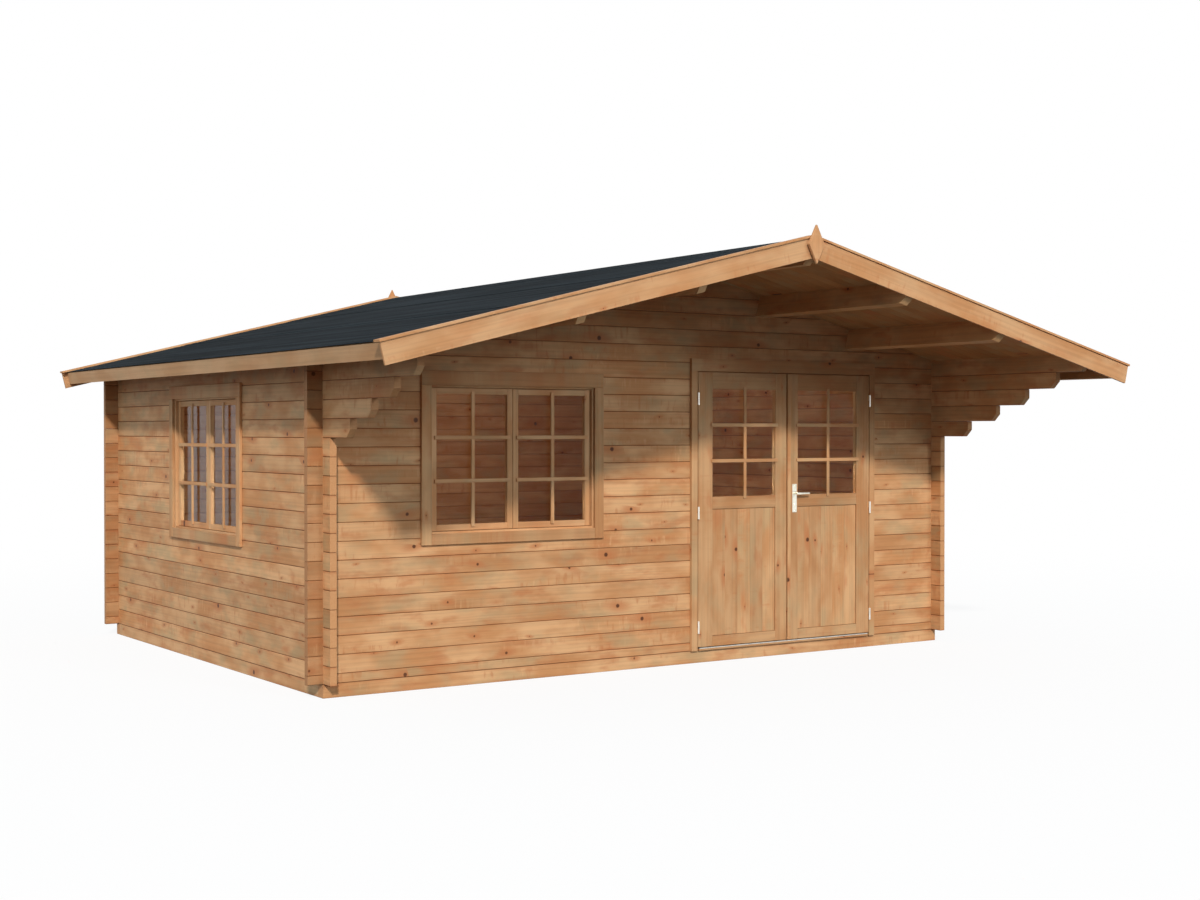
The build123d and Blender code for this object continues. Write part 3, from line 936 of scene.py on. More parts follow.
def ease_edges(mesh: Mesh, edges: Iterable[bmesh.types.BMEdge], width: float, steps: int = 2) -> None:
    """Round edges off.

    Args:
        mesh: The mesh that they belong to.
        edges: The edges.
        width: How far the rounding reaches.
        steps: Facets of each rounded edge.
    """
    bmesh.ops.bevel(
        mesh,
        geom=list(edges),
        offset=width,
        affect="EDGES",
        segments=steps,
        profile=0.5,
        material=-1,
        clamp_overlap=True,
    )


@dataclass
class Board:
    """One sawn board: its two corners in the assembly's own space, and its grain."""

    low: Vector
    high: Vector
    grain: Axis


@dataclass
class BoardSet:
    """Boards with eased edges that make up one piece.

    Each board takes its wood from another place, by its luck along, across and through the grain.
    """

    name: str
    place: Matrix = field(default_factory=Matrix)
    ease: float = 0.002
    seed: int = 1
    boards: list[Board] = field(default_factory=list)
    luck: tuple[Span, Span, Span] = ((3.0, 60.0), (1.0, 9.0), (0.0, 4.0))
    end_facing: float = 0.8

    def add(self, x: Sequence[float], y: Sequence[float], z: Sequence[float], grain: Axis) -> None:
        """Add a board between two places along each axis.

        Args:
            x: The two x places, in any order.
            y: The two y places.
            z: The two z places.
            grain: The way its grain runs.
        """
        low, high = (Vector(ends) for ends in zip(*(sorted(span) for span in (x, y, z))))
        self.boards.append(Board(low, high, grain))

    def settle(self, material: Material, body: str, slot: str, replaced: Optional[str] = None) -> None:
        """Model the boards and make them a piece of the cabin.

        Args:
            material: The piece's material.
            body: The body it rides on.
            replaced: The node of the frame that it stands for.
        """
        mesh = bmesh.new()
        owner = mesh.verts.layers.int.new("owner")
        for index, board in enumerate(self.boards):
            made = bmesh.ops.create_cube(mesh, size=1.0, matrix=seat_between(board.low, board.high))
            for vert in made["verts"]:
                vert[owner] = index
        ease_edges(mesh, mesh.edges, self.ease)
        self._write_grain(mesh, owner)
        bmesh.ops.transform(mesh, matrix=self.place, verts=list(mesh.verts))
        settle(self.name, mesh, material, body, replaced)

    def _write_grain(self, mesh: Mesh, owner: bmesh.types.BMLayerItem) -> None:
        """Store place, tone and ends.

        Args:
            mesh: The boards, still in the assembly's own space.
            owner: The layer that tells which board a vertex belongs to; removed here.
        """
        luck = random.Random(self.seed)
        shifts = [Vector([luck.uniform(*span) for span in self.luck]) for _ in self.boards]
        tones = [luck.random() for _ in self.boards]
        spot = mesh.verts.layers.float_vector.new(BOARD_SPOT)
        tone = mesh.verts.layers.float.new(BOARD_TONE)
        end = mesh.faces.layers.float.new(BOARD_END)
        for vert in mesh.verts:
            index = vert[owner]
            vert[spot] = Vector([vert.co[i] for i in self.boards[index].grain.order]) + shifts[index]
            vert[tone] = tones[index]
        mesh.normal_update()
        for face in mesh.faces:
            board = self.boards[face.verts[0][owner]]
            face[end] = float(abs(face.normal[board.grain.value]) > self.end_facing)
        mesh.verts.layers.int.remove(owner)


def spread(low: float, high: float, count: int, gap: float) -> list[Span]:
    """Equal spans that fill a length.

    Args:
        low: Where the first starts.
        high: Where the last ends.
        count: How many.
        gap: The space between two.

    Returns:
        Start and end of each.
    """
    pitch = (high - low + gap) / count
    return [(low + i * pitch, low + (i + 1) * pitch - gap) for i in range(count)]


def turned(mesh: Mesh, place: Matrix, stations: Sequence[Triple]) -> None:
    """Add a closed rounded bar that swells and narrows along its length.

    Args:
        mesh: Where it is added.
        place: Its own space: z along the bar, x and y across.
        stations: Distance along, and half width in x and y there.
    """
    before = stations[0]
    seat = Matrix.Translation((0.0, 0.0, before[0])) @ Matrix.Diagonal((before[1], before[2], 1.0, 1.0))
    made = bmesh.ops.create_circle(mesh, cap_ends=True, segments=TURNED_SIDES, radius=1.0, matrix=seat)
    verts = list(made["verts"])
    cap = next(face for face in mesh.faces if set(face.verts) == set(verts))
    bmesh.ops.reverse_faces(mesh, faces=[cap])
    edges = list(cap.edges)
    for station in stations[1:]:
        grown = bmesh.ops.extrude_edge_only(mesh, edges=edges)["geom"]
        ring = [item for item in grown if isinstance(item, bmesh.types.BMVert)]
        edges = [item for item in grown if isinstance(item, bmesh.types.BMEdge) and item.is_boundary]
        scale = (station[1] / before[1], station[2] / before[2], 1.0)
        bmesh.ops.scale(mesh, vec=scale, verts=ring)
        bmesh.ops.translate(mesh, vec=(0.0, 0.0, station[0] - before[0]), verts=ring)
        verts += ring
        before = station
    bmesh.ops.contextual_create(mesh, geom=edges)
    bmesh.ops.transform(mesh, matrix=place, verts=verts)
    faces = dict.fromkeys(face for vert in verts for face in vert.link_faces)
    bmesh.ops.recalc_face_normals(mesh, faces=list(faces))


def peg(mesh: Mesh, place: Matrix, radius: float, profile: Sequence[Span]) -> None:
    """Add a round bar: distances along it, each with a share of its radius."""
    turned(mesh, place, [(distance, radius * share, radius * share) for distance, share in profile])


@dataclass(frozen=True)
class FarLamp:
    """A far lamp: the way its light travels, its power, and how broad it looks in degrees."""

    name: str
    way: Triple
    power: float
    width: float
    tint: Colour

    def build(self) -> None:
        """Hang the lamp."""
        data = bpy.data.lights.new(self.name, "SUN")
        data.energy = self.power
        data.angle = math.radians(self.width)
        data.color = self.tint
        lamp = put(self.name, data)
        lamp.rotation_euler = Vector(self.way).to_track_quat("-Z", "Y").to_euler()
        lamp.visible_transmission = False


@dataclass
class Studio:
    """Camera, lamps, world and floor."""

    camera_spot: Triple = (-6.7716, -10.5978, 1.6076)
    camera_turn: float = 33.79
    camera_dip: float = 0.648
    lens: float = 50.42
    sensor: float = 36.0
    lamps: tuple[FarLamp, ...] = (
        FarLamp("sun", (0.56, 1.0, -0.68), power=2.62, width=3.6, tint=(1.0, 0.93, 0.87)),
        FarLamp("fill", (-0.30, 1.0, -0.30), power=0.68, width=18.0, tint=(0.91, 1.0, 1.06)),
        FarLamp("side", (1.0, 0.10, -0.30), power=0.45, width=40.0, tint=(0.91, 1.0, 1.06)),
    )
    glow_spot: Triple = (0.0, 0.6, 1.75)
    glow_power: float = 30.0
    glow_radius: float = 0.5
    glow_tint: Colour = (1.0, 0.87, 0.76)
    sky: float = 0.53
    sky_tint: Colour = (0.91, 1.0, 1.08)
    floor_radius: float = 80.0
    floor_sides: int = 64
    floor_bounce: float = 0.11
    floor_shown: float = 0.90
    floor_white: float = 0.88
    floor_near: float = 4.0
    floor_far: float = 13.0

    def build(self) -> None:
        """Set up everything round the cabin."""
        bpy.context.scene.view_settings.view_transform = "Standard"
        self._camera()
        for lamp in self.lamps:
            lamp.build()
        self._glow()
        self._world()
        self._floor()

    def _camera(self) -> None:
        """The camera at the photograph's place."""
        data = bpy.data.cameras.new("camera")
        data.sensor_width = self.sensor
        data.lens = self.lens
        camera = put("camera", data)
        camera.location = self.camera_spot
        tilt = math.radians(90.0 - self.camera_dip)
        camera.rotation_euler = (tilt, 0.0, -math.radians(self.camera_turn))
        bpy.context.scene.camera = camera

    def _glow(self) -> None:
        """A weak lamp in the room, so that the glass isn't black."""
        data = bpy.data.lights.new("glow", "POINT")
        data.energy = self.glow_power
        data.color = self.glow_tint
        data.shadow_soft_size = self.glow_radius
        lamp = put("glow", data)
        lamp.location = self.glow_spot
        lamp.visible_camera = lamp.visible_glossy = lamp.visible_transmission = False

    def _world(self) -> None:
        """A white world that lights softly."""
        world = bpy.data.worlds.new("world")
        bpy.context.scene.world = world
        world.use_nodes = True
        paint = Paint(world.node_tree)
        seen = paint.seen()
        strength = seen * (1.0 - self.sky) + self.sky
        colour = paint.blend(seen, self.sky_tint, WHITE)
        glow = paint.node("ShaderNodeBackground", {}, {"Color": colour, "Strength": strength})
        paint.node("ShaderNodeOutputWorld", {}, {"Surface": glow})

    def _floor(self) -> None:
        """A plain pale floor that keeps the shadow and fades to white far off."""
        mesh = bmesh.new()
        bmesh.ops.create_circle(mesh, cap_ends=True, segments=self.floor_sides, radius=self.floor_radius)
        data = bpy.data.meshes.new("floor")
        mesh.to_mesh(data)
        mesh.free()
        floor = put("floor", data)
        material, paint = new_material("floor")
        seen = paint.seen()
        shade = seen * (self.floor_shown - self.floor_bounce) + self.floor_bounce
        matt = paint.node("ShaderNodeBsdfDiffuse", {}, {"Color": shade})
        white = paint.node("ShaderNodeEmission", {}, {"Color": rgba(WHITE), "Strength": 1.0})
        far = paint.length(paint.spot()).ramp(self.floor_near, self.floor_far)
        share = seen * (far * (1.0 - self.floor_white) + self.floor_white)
        paint.finish(paint.node("ShaderNodeMixShader", {}, {0: share, 1: matt, 2: white}))
        data.materials.append(material)


@dataclass
class LogShell:
    """The log walls: their solids stay and get their wood, and tongues close the plain walls' joints."""

    front_foot: float = 0.142
    side_courses: int = 18
    half_log: float = 0.022
    tongue_width: float = 0.008
    tongue_height: float = 0.016
    tongue_ease: float = 0.001
    tongue_seed: int = 51
    gable_stacks: tuple[str, ...] = (
        "front_logs_low",
        "front_logs_left",
        "front_logs_mid",
        "front_logs_high",
        "front_logs_right",
        "front_gable",
        "back_logs",
    )
    gable_seeds: tuple[int, int] = (11, 7)
    side_stacks: tuple[str, ...] = (
        "left_logs_low",
        "left_logs_front",
        "left_logs_back",
        "left_corbels",
        "right_logs",
        "right_corbels",
    )
    side_seeds: tuple[int, int] = (203, 9)

    def build(self) -> None:
        """Dress every stack of logs, each with its own luck, and add the tongues."""
        first, step = self.gable_seeds
        for index, name in enumerate(self.gable_stacks):
            grain = LogGrain(name, Axis.X, self.front_foot, first + step * index, cross=SIDE_WALL)
            # The back wall takes the darker copy of the log wood, painted shade for the dim room.
            wood = PAINTED_SHADE_BACK_WOOD if name == "back_logs" else LOG_WOOD
            dress(name, wood.material(grain))
        first, step = self.side_seeds
        for index, name in enumerate(self.side_stacks):
            grain = LogGrain(name, Axis.Y, BEAM_TOP, first + step * index, self.side_courses)
            wood = LOG_WOOD if name.endswith("corbels") else SIDE_WOOD
            dress(name, wood.material(grain))
        self._tongues()

    def _tongues(self) -> None:
        """Strips let into the joints of the two plain walls, so that no daylight shows between the logs."""
        strips = BoardSet("wall_tongues", ease=self.tongue_ease, seed=self.tongue_seed)
        wide, high = self.tongue_width / 2, self.tongue_height / 2
        front, back = FRONT_WALL + self.half_log, BACK_WALL - self.half_log
        right = SIDE_WALL - self.half_log
        for course in range(1, self.side_courses):
            z = self.front_foot + course * LOG_PITCH
            strips.add((-right, right), (back - wide, back + wide), (z - high, z + high), Axis.X)
            z = BEAM_TOP + course * LOG_PITCH
            strips.add((right - wide, right + wide), (front, back), (z - high, z + high), Axis.Y)
        strips.settle(LOG_WOOD.boards(), CABIN, "log_wood")


@dataclass
class Base:
    """Foundation beams and the boarded floor on its joists."""

    width: float = 5.0112
    front: float = -1.2556
    back: float = 2.5556
    top: float = 0.104
    rows: int = 34
    gap: float = 0.0006
    ease: float = 0.0015
    board_seed: int = 41
    joist_spacing: float = 0.470
    joist_count: int = 10
    joint_step: int = 3
    beams: tuple[tuple[str, Axis], ...] = (
        ("foundation_front", Axis.X),
        ("foundation_back", Axis.X),
        ("foundation_left", Axis.Y),
        ("foundation_right", Axis.Y),
        ("floor_joists", Axis.Y),
    )
    beam_seed: int = 301

    def build(self) -> None:
        """Dress the beams and lay the floor."""
        for index, (name, axis) in enumerate(self.beams):
            grain = LogGrain(name, axis, 0.0, self.beam_seed + index, pitch=BEAM_TOP, bottom=0.0)
            dress(name, LOG_WOOD.material(grain))
        self._floor()

    def _floor(self) -> None:
        """Boards across the joists, their ends meeting on joists in turn."""
        boards = BoardSet("floor_boards", ease=self.ease, seed=self.board_seed)
        half = self.width / 2
        for row, span in enumerate(spread(self.front, self.back, self.rows, self.gap)):
            joist = (row * self.joint_step) % self.joist_count
            joint = (joist - (self.joist_count - 1) / 2) * self.joist_spacing
            for x in ((-half, joint - self.gap), (joint, half)):
                boards.add(x, span, (BEAM_TOP, self.top), Axis.X)
        boards.settle(JOINERY_WOOD.boards(), CABIN, "floor_wood", "floor_deck")


@dataclass
class Roof:
    """Purlins, roof boards, felt and trim."""

    slope: float = 13.9
    ridge_underside: float = 2.76417
    length: float = 2.94493
    front: float = -2.798
    back: float = 2.798
    thickness: float = 0.020
    board_count: int = 58
    board_gap: float = 0.0006
    board_ease: float = 0.0025
    board_seed: int = 60
    felt_length: float = 2.96793
    felt_thickness: float = 0.0021
    felt_ease_share: float = 0.25
    felt_lap: float = 0.09
    felt_rows: int = 3
    felt_cap: float = 0.26
    finial: float = 0.019
    finial_ease: float = 0.0025
    block_width: float = 0.044
    block_height: float = 0.090
    block_drop: float = 0.020
    purlins: tuple[str, ...] = (
        "ridge_purlin",
        "left_purlin_upper",
        "left_purlin_lower",
        "right_purlin_upper",
        "right_purlin_lower",
    )
    purlin_seed: int = 401
    trim_seed: int = 501

    def _slope_space(self, side: Side) -> Matrix:
        """Space of one slope.

        Args:
            side: Which slope.

        Returns:
            Its matrix: x down the slope from the ridge, z square above its underside.
        """
        turn = math.radians(self.slope)
        down = Vector((side.value * math.cos(turn), 0.0, -math.sin(turn)))
        up = Vector((side.value * math.sin(turn), 0.0, math.cos(turn)))
        place = Matrix((down, up.cross(down), up)).transposed().to_4x4()
        return Matrix.Translation((0.0, 0.0, self.ridge_underside)) @ place

    def build(self) -> None:
        """Dress the timbers, then board and felt both slopes."""
        for index, name in enumerate(self.purlins):
            dress(name, BEAM_WOOD.material(SolidGrain(name, Axis.Y, self.purlin_seed + index)))
        self._trim()
        for side in Side:
            self._boards(side)
        self._felt()

    def _trim(self) -> None:
        """Dress barge boards, cover strips and eaves boards, and make the finials."""
        seed = self.trim_seed
        for end in End:
            for side in Side:
                turn = side.value * math.radians(self.slope)
                name = f"{end.word}_{side.word}_barge"
                dress(name, TRIM_WOOD.material(SolidGrain(name, Axis.X, seed, -turn)))
                seed += 1
            name = f"{end.word}_cover_strips"
            dress(name, TRIM_WOOD.material(SolidGrain(name, Axis.X, seed)))
            self._finial(end, seed + 1)
            seed += 2
        for index, side in enumerate(Side):
            name = f"{side.word}_eaves_board"
            dress(name, EAVES_WOOD.material(SolidGrain(name, Axis.Y, seed + index)))

    def _finial(self, end: End, seed: int) -> None:
        """A thin diamond in its node's outline, held off the barge boards by a block behind it.

        Args:
            end: The gable that it stands on.
            seed: The luck of its grain.
        """
        node = f"{end.word}_finial"
        low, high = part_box(node)
        face, bed = (low.y, high.y) if end is End.FRONT else (high.y, low.y)
        back = face + math.copysign(self.finial, bed - face)
        middle, size = (low + high) / 2, high - low
        diagonal = math.sqrt(2.0)
        seat = Matrix.Translation((middle.x, (face + back) / 2, middle.z))
        scale = Matrix.Diagonal((size.x / diagonal, self.finial, size.z / diagonal, 1.0))
        turn = Matrix.Rotation(math.pi / 4, 4, "Y")
        centre = Vector((middle.x, (bed + back) / 2, middle.z - self.block_drop))
        half = Vector((self.block_width, abs(bed - back), self.block_height)) / 2
        board = bmesh.new()
        bmesh.ops.create_cube(board, size=1.0, matrix=seat @ scale @ turn)
        bmesh.ops.create_cube(board, size=1.0, matrix=seat_between(centre - half, centre + half))
        ease_edges(board, board.edges, self.finial_ease)
        wood = TRIM_WOOD.material(SolidGrain(node, Axis.Z, seed))
        settle(f"{end.word}_finial_board", board, wood, CABIN, node)

    def _boards(self, side: Side) -> None:
        """Boards from ridge to eaves, with a V joint between each two.

        Args:
            side: The slope that they lie on.
        """
        space, seed = self._slope_space(side), self.board_seed + side.value
        boards = BoardSet(f"{side.word}_roof_boards", space, self.board_ease, seed)
        reach = (self.front, self.back) if side is Side.RIGHT else (-self.back, -self.front)
        for span in spread(*reach, self.board_count, self.board_gap):
            boards.add((FIT, self.length), span, (0.0, self.thickness), Axis.X)
        # The roof boards take the darker deck wood, painted shade under the roof.
        boards.settle(PAINTED_SHADE_DECK_WOOD.boards(), CABIN, "roof_wood", f"{side.word}_roof_deck")

    def _felt(self) -> None:
        """Strips of felt along the roof, each lapped over the one below, and a cap on the ridge."""
        whole = bmesh.new()
        width = (self.felt_length - self.felt_cap / 2) / self.felt_rows
        top = self.thickness + FIT + self.felt_thickness
        ridge = -top * math.tan(math.radians(self.slope))
        for side in Side:
            space = self._slope_space(side)
            for row in range(self.felt_rows):
                start = row * width if row else ridge
                last = row == self.felt_rows - 1
                end = self.felt_length if last else (row + 1) * width + self.felt_lap
                self._strip(whole, space, start, end, 0.0 if last else self.felt_thickness)
            self._strip(whole, space, ridge, self.felt_cap, self.felt_thickness)
        settle("roof_felt_strips", whole, FELT.material(), CABIN, "roof_felt")

    def _strip(self, mesh: Mesh, space: Matrix, start: float, end: float, lift: float) -> None:
        """Add one strip of felt.

        Args:
            mesh: Where it is added.
            space: The slope's space.
            start: Its upper edge, down from the ridge.
            end: Its lower edge.
            lift: How far its lower edge rides up on the strip below.
        """
        rise = self.thickness + FIT + (self.felt_thickness + lift) / 2
        place = Matrix.Translation(((start + end) / 2, 0.0, rise))
        tilt = Matrix.Rotation(-math.asin(lift / (end - start)), 4, "Y")
        size = Matrix.Diagonal((end - start, self.back - self.front, self.felt_thickness, 1.0))
        made = bmesh.ops.create_cube(mesh, size=1.0, matrix=space @ place @ tilt @ size)
        edges = dict.fromkeys(edge for vert in made["verts"] for edge in vert.link_edges)
        ease_edges(mesh, edges, self.felt_thickness * self.felt_ease_share, steps=1)


def glazing_bars(
    boards: BoardSet, across: Span, up: Span, out: Span, lap: float, upright: Axis, rows: int = 3
) -> None:
    """Add a grille two panes wide: cross bars through, the upright in lengths between them.

    Args:
        boards: Where the bars are added.
        across: The light's two edges.
        up: The light's foot and top.
        out: Back and front of the bars.
        lap: How far the bars lie on the frame round the light.
        upright: The axis that points up in the boards' own space.
        rows: Panes above one another.
    """
    half = BAR_WIDTH / 2
    middle = (across[0] + across[1]) / 2
    levels = [up[0] + (up[1] - up[0]) * row / rows for row in range(1, rows)]
    ends = [up[0] - lap, *(level + way for level in levels for way in (-half, half)), up[1] + lap]
    bars = [((across[0] - lap, across[1] + lap), (level - half, level + half), Axis.X) for level in levels]
    bars += [((middle - half, middle + half), span, upright) for span in zip(ends[::2], ends[1::2])]
    for x, rise, grain in bars:
        y, z = (rise, out) if upright is Axis.Y else (out, rise)
        boards.add(x, y, z, grain)


@dataclass
class Window:
    """A double casement: casing boards, frame, two sashes and their planted glazing bars.

    Foot is the middle of its lower edge on the wall's outer face, and along points to its right.
    """

    wall: str
    foot: Triple
    along: Triple
    seed: int
    width: float = 1.270
    height: float = 1.026
    clear_half: float = 0.610
    clear_foot: float = 0.025
    clear_top: float = 0.954
    casing: float = 0.070
    casing_head: float = 0.092
    casing_depth: float = 0.020
    casing_ease: float = 0.003
    reveal: float = 0.012
    frame_depth: float = 0.058
    stop: float = 0.008
    stop_width: float = 0.012
    sash_front: float = -0.022
    sash_gap: float = 0.003
    stile: float = 0.040
    rail: float = 0.042
    bar_depth: float = 0.011
    bar_lap: float = 0.018
    glass_depth: float = -0.040
    slot: str = "window_wood"

    @property
    def place(self) -> Matrix:
        """Space on the wall's outer face: x along the wall, y up, z out."""
        x, y = Vector(self.along), Vector((0.0, 0.0, 1.0))
        return Matrix.Translation(self.foot) @ Matrix((x, y, x.cross(y))).transposed().to_4x4()

    def build(self) -> None:
        """Make the boards, the bars and the glass."""
        self._casing()
        self._joinery()
        self._bars()
        self._glass()

    def _casing(self) -> None:
        """Head over the side boards, foot between them."""
        boards = BoardSet(f"{self.wall}_window_casing_boards", self.place, self.casing_ease, self.seed)
        half, outer = self.clear_half, self.clear_half + self.casing
        foot, top = self.clear_foot - self.casing, self.clear_top + self.casing_head
        out = (FIT, self.casing_depth)
        boards.add((-outer, outer), (self.clear_top, top), out, Axis.X)
        boards.add((FIT - half, half - FIT), (foot, self.clear_foot), out, Axis.X)
        for x in ((-outer, -half), (half, outer)):
            boards.add(x, (foot, self.clear_top - FIT), out, Axis.Y)
        boards.settle(JOINERY_WOOD.boards(), CABIN, self.slot, f"{self.wall}_window_casing")

    def _joinery(self) -> None:
        """The fixed frame with its stops and both sashes, stiles through and rails between."""
        boards = BoardSet(f"{self.wall}_window_joinery", self.place, seed=self.seed + 1)
        outer, foot, top = self.width / 2 - FIT, FIT, self.height - FIT
        half = self.clear_half - self.reveal
        low, high = self.clear_foot + self.reveal, self.clear_top - self.reveal
        deep = (-self.frame_depth, 0.0)
        for x in ((-outer, -half), (half, outer)):
            boards.add(x, (foot, top), deep, Axis.Y)
        for y in ((foot, low), (high, top)):
            boards.add((-half, half), y, deep, Axis.X)
        back, lap = self.stop - self.frame_depth, self.stop_width
        deep = (-self.frame_depth, back - FIT)
        for x in ((-half, lap - half), (-lap, lap), (half - lap, half)):
            boards.add(x, (low, high), deep, Axis.Y)
        for x in ((lap - half, -lap), (lap, half - lap)):
            for y in ((low, low + lap), (high - lap, high)):
                boards.add(x, y, deep, Axis.X)
        deep = (back, self.sash_front)
        for left, right in self._sashes():
            for x in ((left, left + self.stile), (right - self.stile, right)):
                boards.add(x, (low + self.sash_gap, high - self.sash_gap), deep, Axis.Y)
            for y in ((low + self.sash_gap, low + self.rail), (high - self.rail, high - self.sash_gap)):
                boards.add((left + self.stile, right - self.stile), y, deep, Axis.X)
        # The sashes take the lighter copy of the joinery wood: painted light.
        boards.settle(PAINTED_LIGHT_SASH_WOOD.boards(), CABIN, self.slot, f"{self.wall}_window_frame")

    def _sashes(self) -> list[Span]:
        """Left and right edge of each sash."""
        outer, inner = self.clear_half - self.reveal - self.sash_gap, self.sash_gap / 2
        return [(-outer, -inner), (inner, outer)]

    def _lights(self, lap: float) -> list[tuple[Span, Span]]:
        """The opening in each sash, made larger by a lap.

        Args:
            lap: How far to reach over the stiles and rails.

        Returns:
            Its two edges, and its foot and top.
        """
        inset, rise = self.stile - lap, self.reveal + self.rail - lap
        up = (self.clear_foot + rise, self.clear_top - rise)
        return [((left + inset, right - inset), up) for left, right in self._sashes()]

    def _bars(self) -> None:
        """One upright and two cross bars planted on each sash."""
        boards = BoardSet(f"{self.wall}_window_bars", self.place, seed=self.seed + 2)
        out = (self.sash_front, self.sash_front + self.bar_depth)
        for across, up in self._lights(0.0):
            glazing_bars(boards, across, up, out, self.bar_lap, Axis.Y)
        # The bars take the lighter copy of the joinery wood: painted light.
        boards.settle(PAINTED_LIGHT_SASH_WOOD.boards(), CABIN, self.slot)

    def _glass(self) -> None:
        """A sheet in each sash, let into its stiles and rails."""
        sheets = bmesh.new()
        out = (self.glass_depth - GLASS_THICKNESS / 2, self.glass_depth + GLASS_THICKNESS / 2)
        for across, up in self._lights(GLASS_REBATE):
            low, high = (Vector(corner) for corner in zip(across, up, out))
            bmesh.ops.create_cube(sheets, size=1.0, matrix=self.place @ seat_between(low, high))
        node = f"{self.wall}_window_glass"
        settle(f"{self.wall}_window_panes", sheets, GLASS.material(), CABIN, node)


@dataclass
class DoorFrame:
    """Jambs, head, threshold and the fixed halves of the hinges."""

    half: float = 0.7842
    back: float = -1.256
    strip_foot: float = 0.0975
    top: float = 0.105
    ease: float = 0.0015
    sill_seed: int = 45
    strip_seed: int = 46
    timbers: tuple[tuple[str, Axis], ...] = (
        ("door_jamb_left", Axis.Z),
        ("door_jamb_right", Axis.Z),
        ("door_head", Axis.X),
    )
    timber_seed: int = 601

    def build(self) -> None:
        """Dress the fixed parts round the door and make the threshold."""
        for index, (name, axis) in enumerate(self.timbers):
            dress(name, JOINERY_WOOD.material(SolidGrain(name, axis, self.timber_seed + index)))
        dress("hinge_pins", HINGE_STEEL.material())
        x = (DOOR_MIDDLE - self.half, DOOR_MIDDLE + self.half)
        y = (DOOR_FACE, self.back)
        sill = BoardSet("threshold_sill", ease=self.ease, seed=self.sill_seed)
        sill.add(x, y, (BEAM_TOP, self.strip_foot - FIT), Axis.X)
        sill.settle(JOINERY_WOOD.boards(), CABIN, "door_wood", "door_threshold")
        strip = BoardSet("threshold_strip", ease=self.ease, seed=self.strip_seed)
        strip.add(x, y, (self.strip_foot, self.top), Axis.X)
        strip.settle(SILL_METAL.material(), CABIN, "threshold_metal")


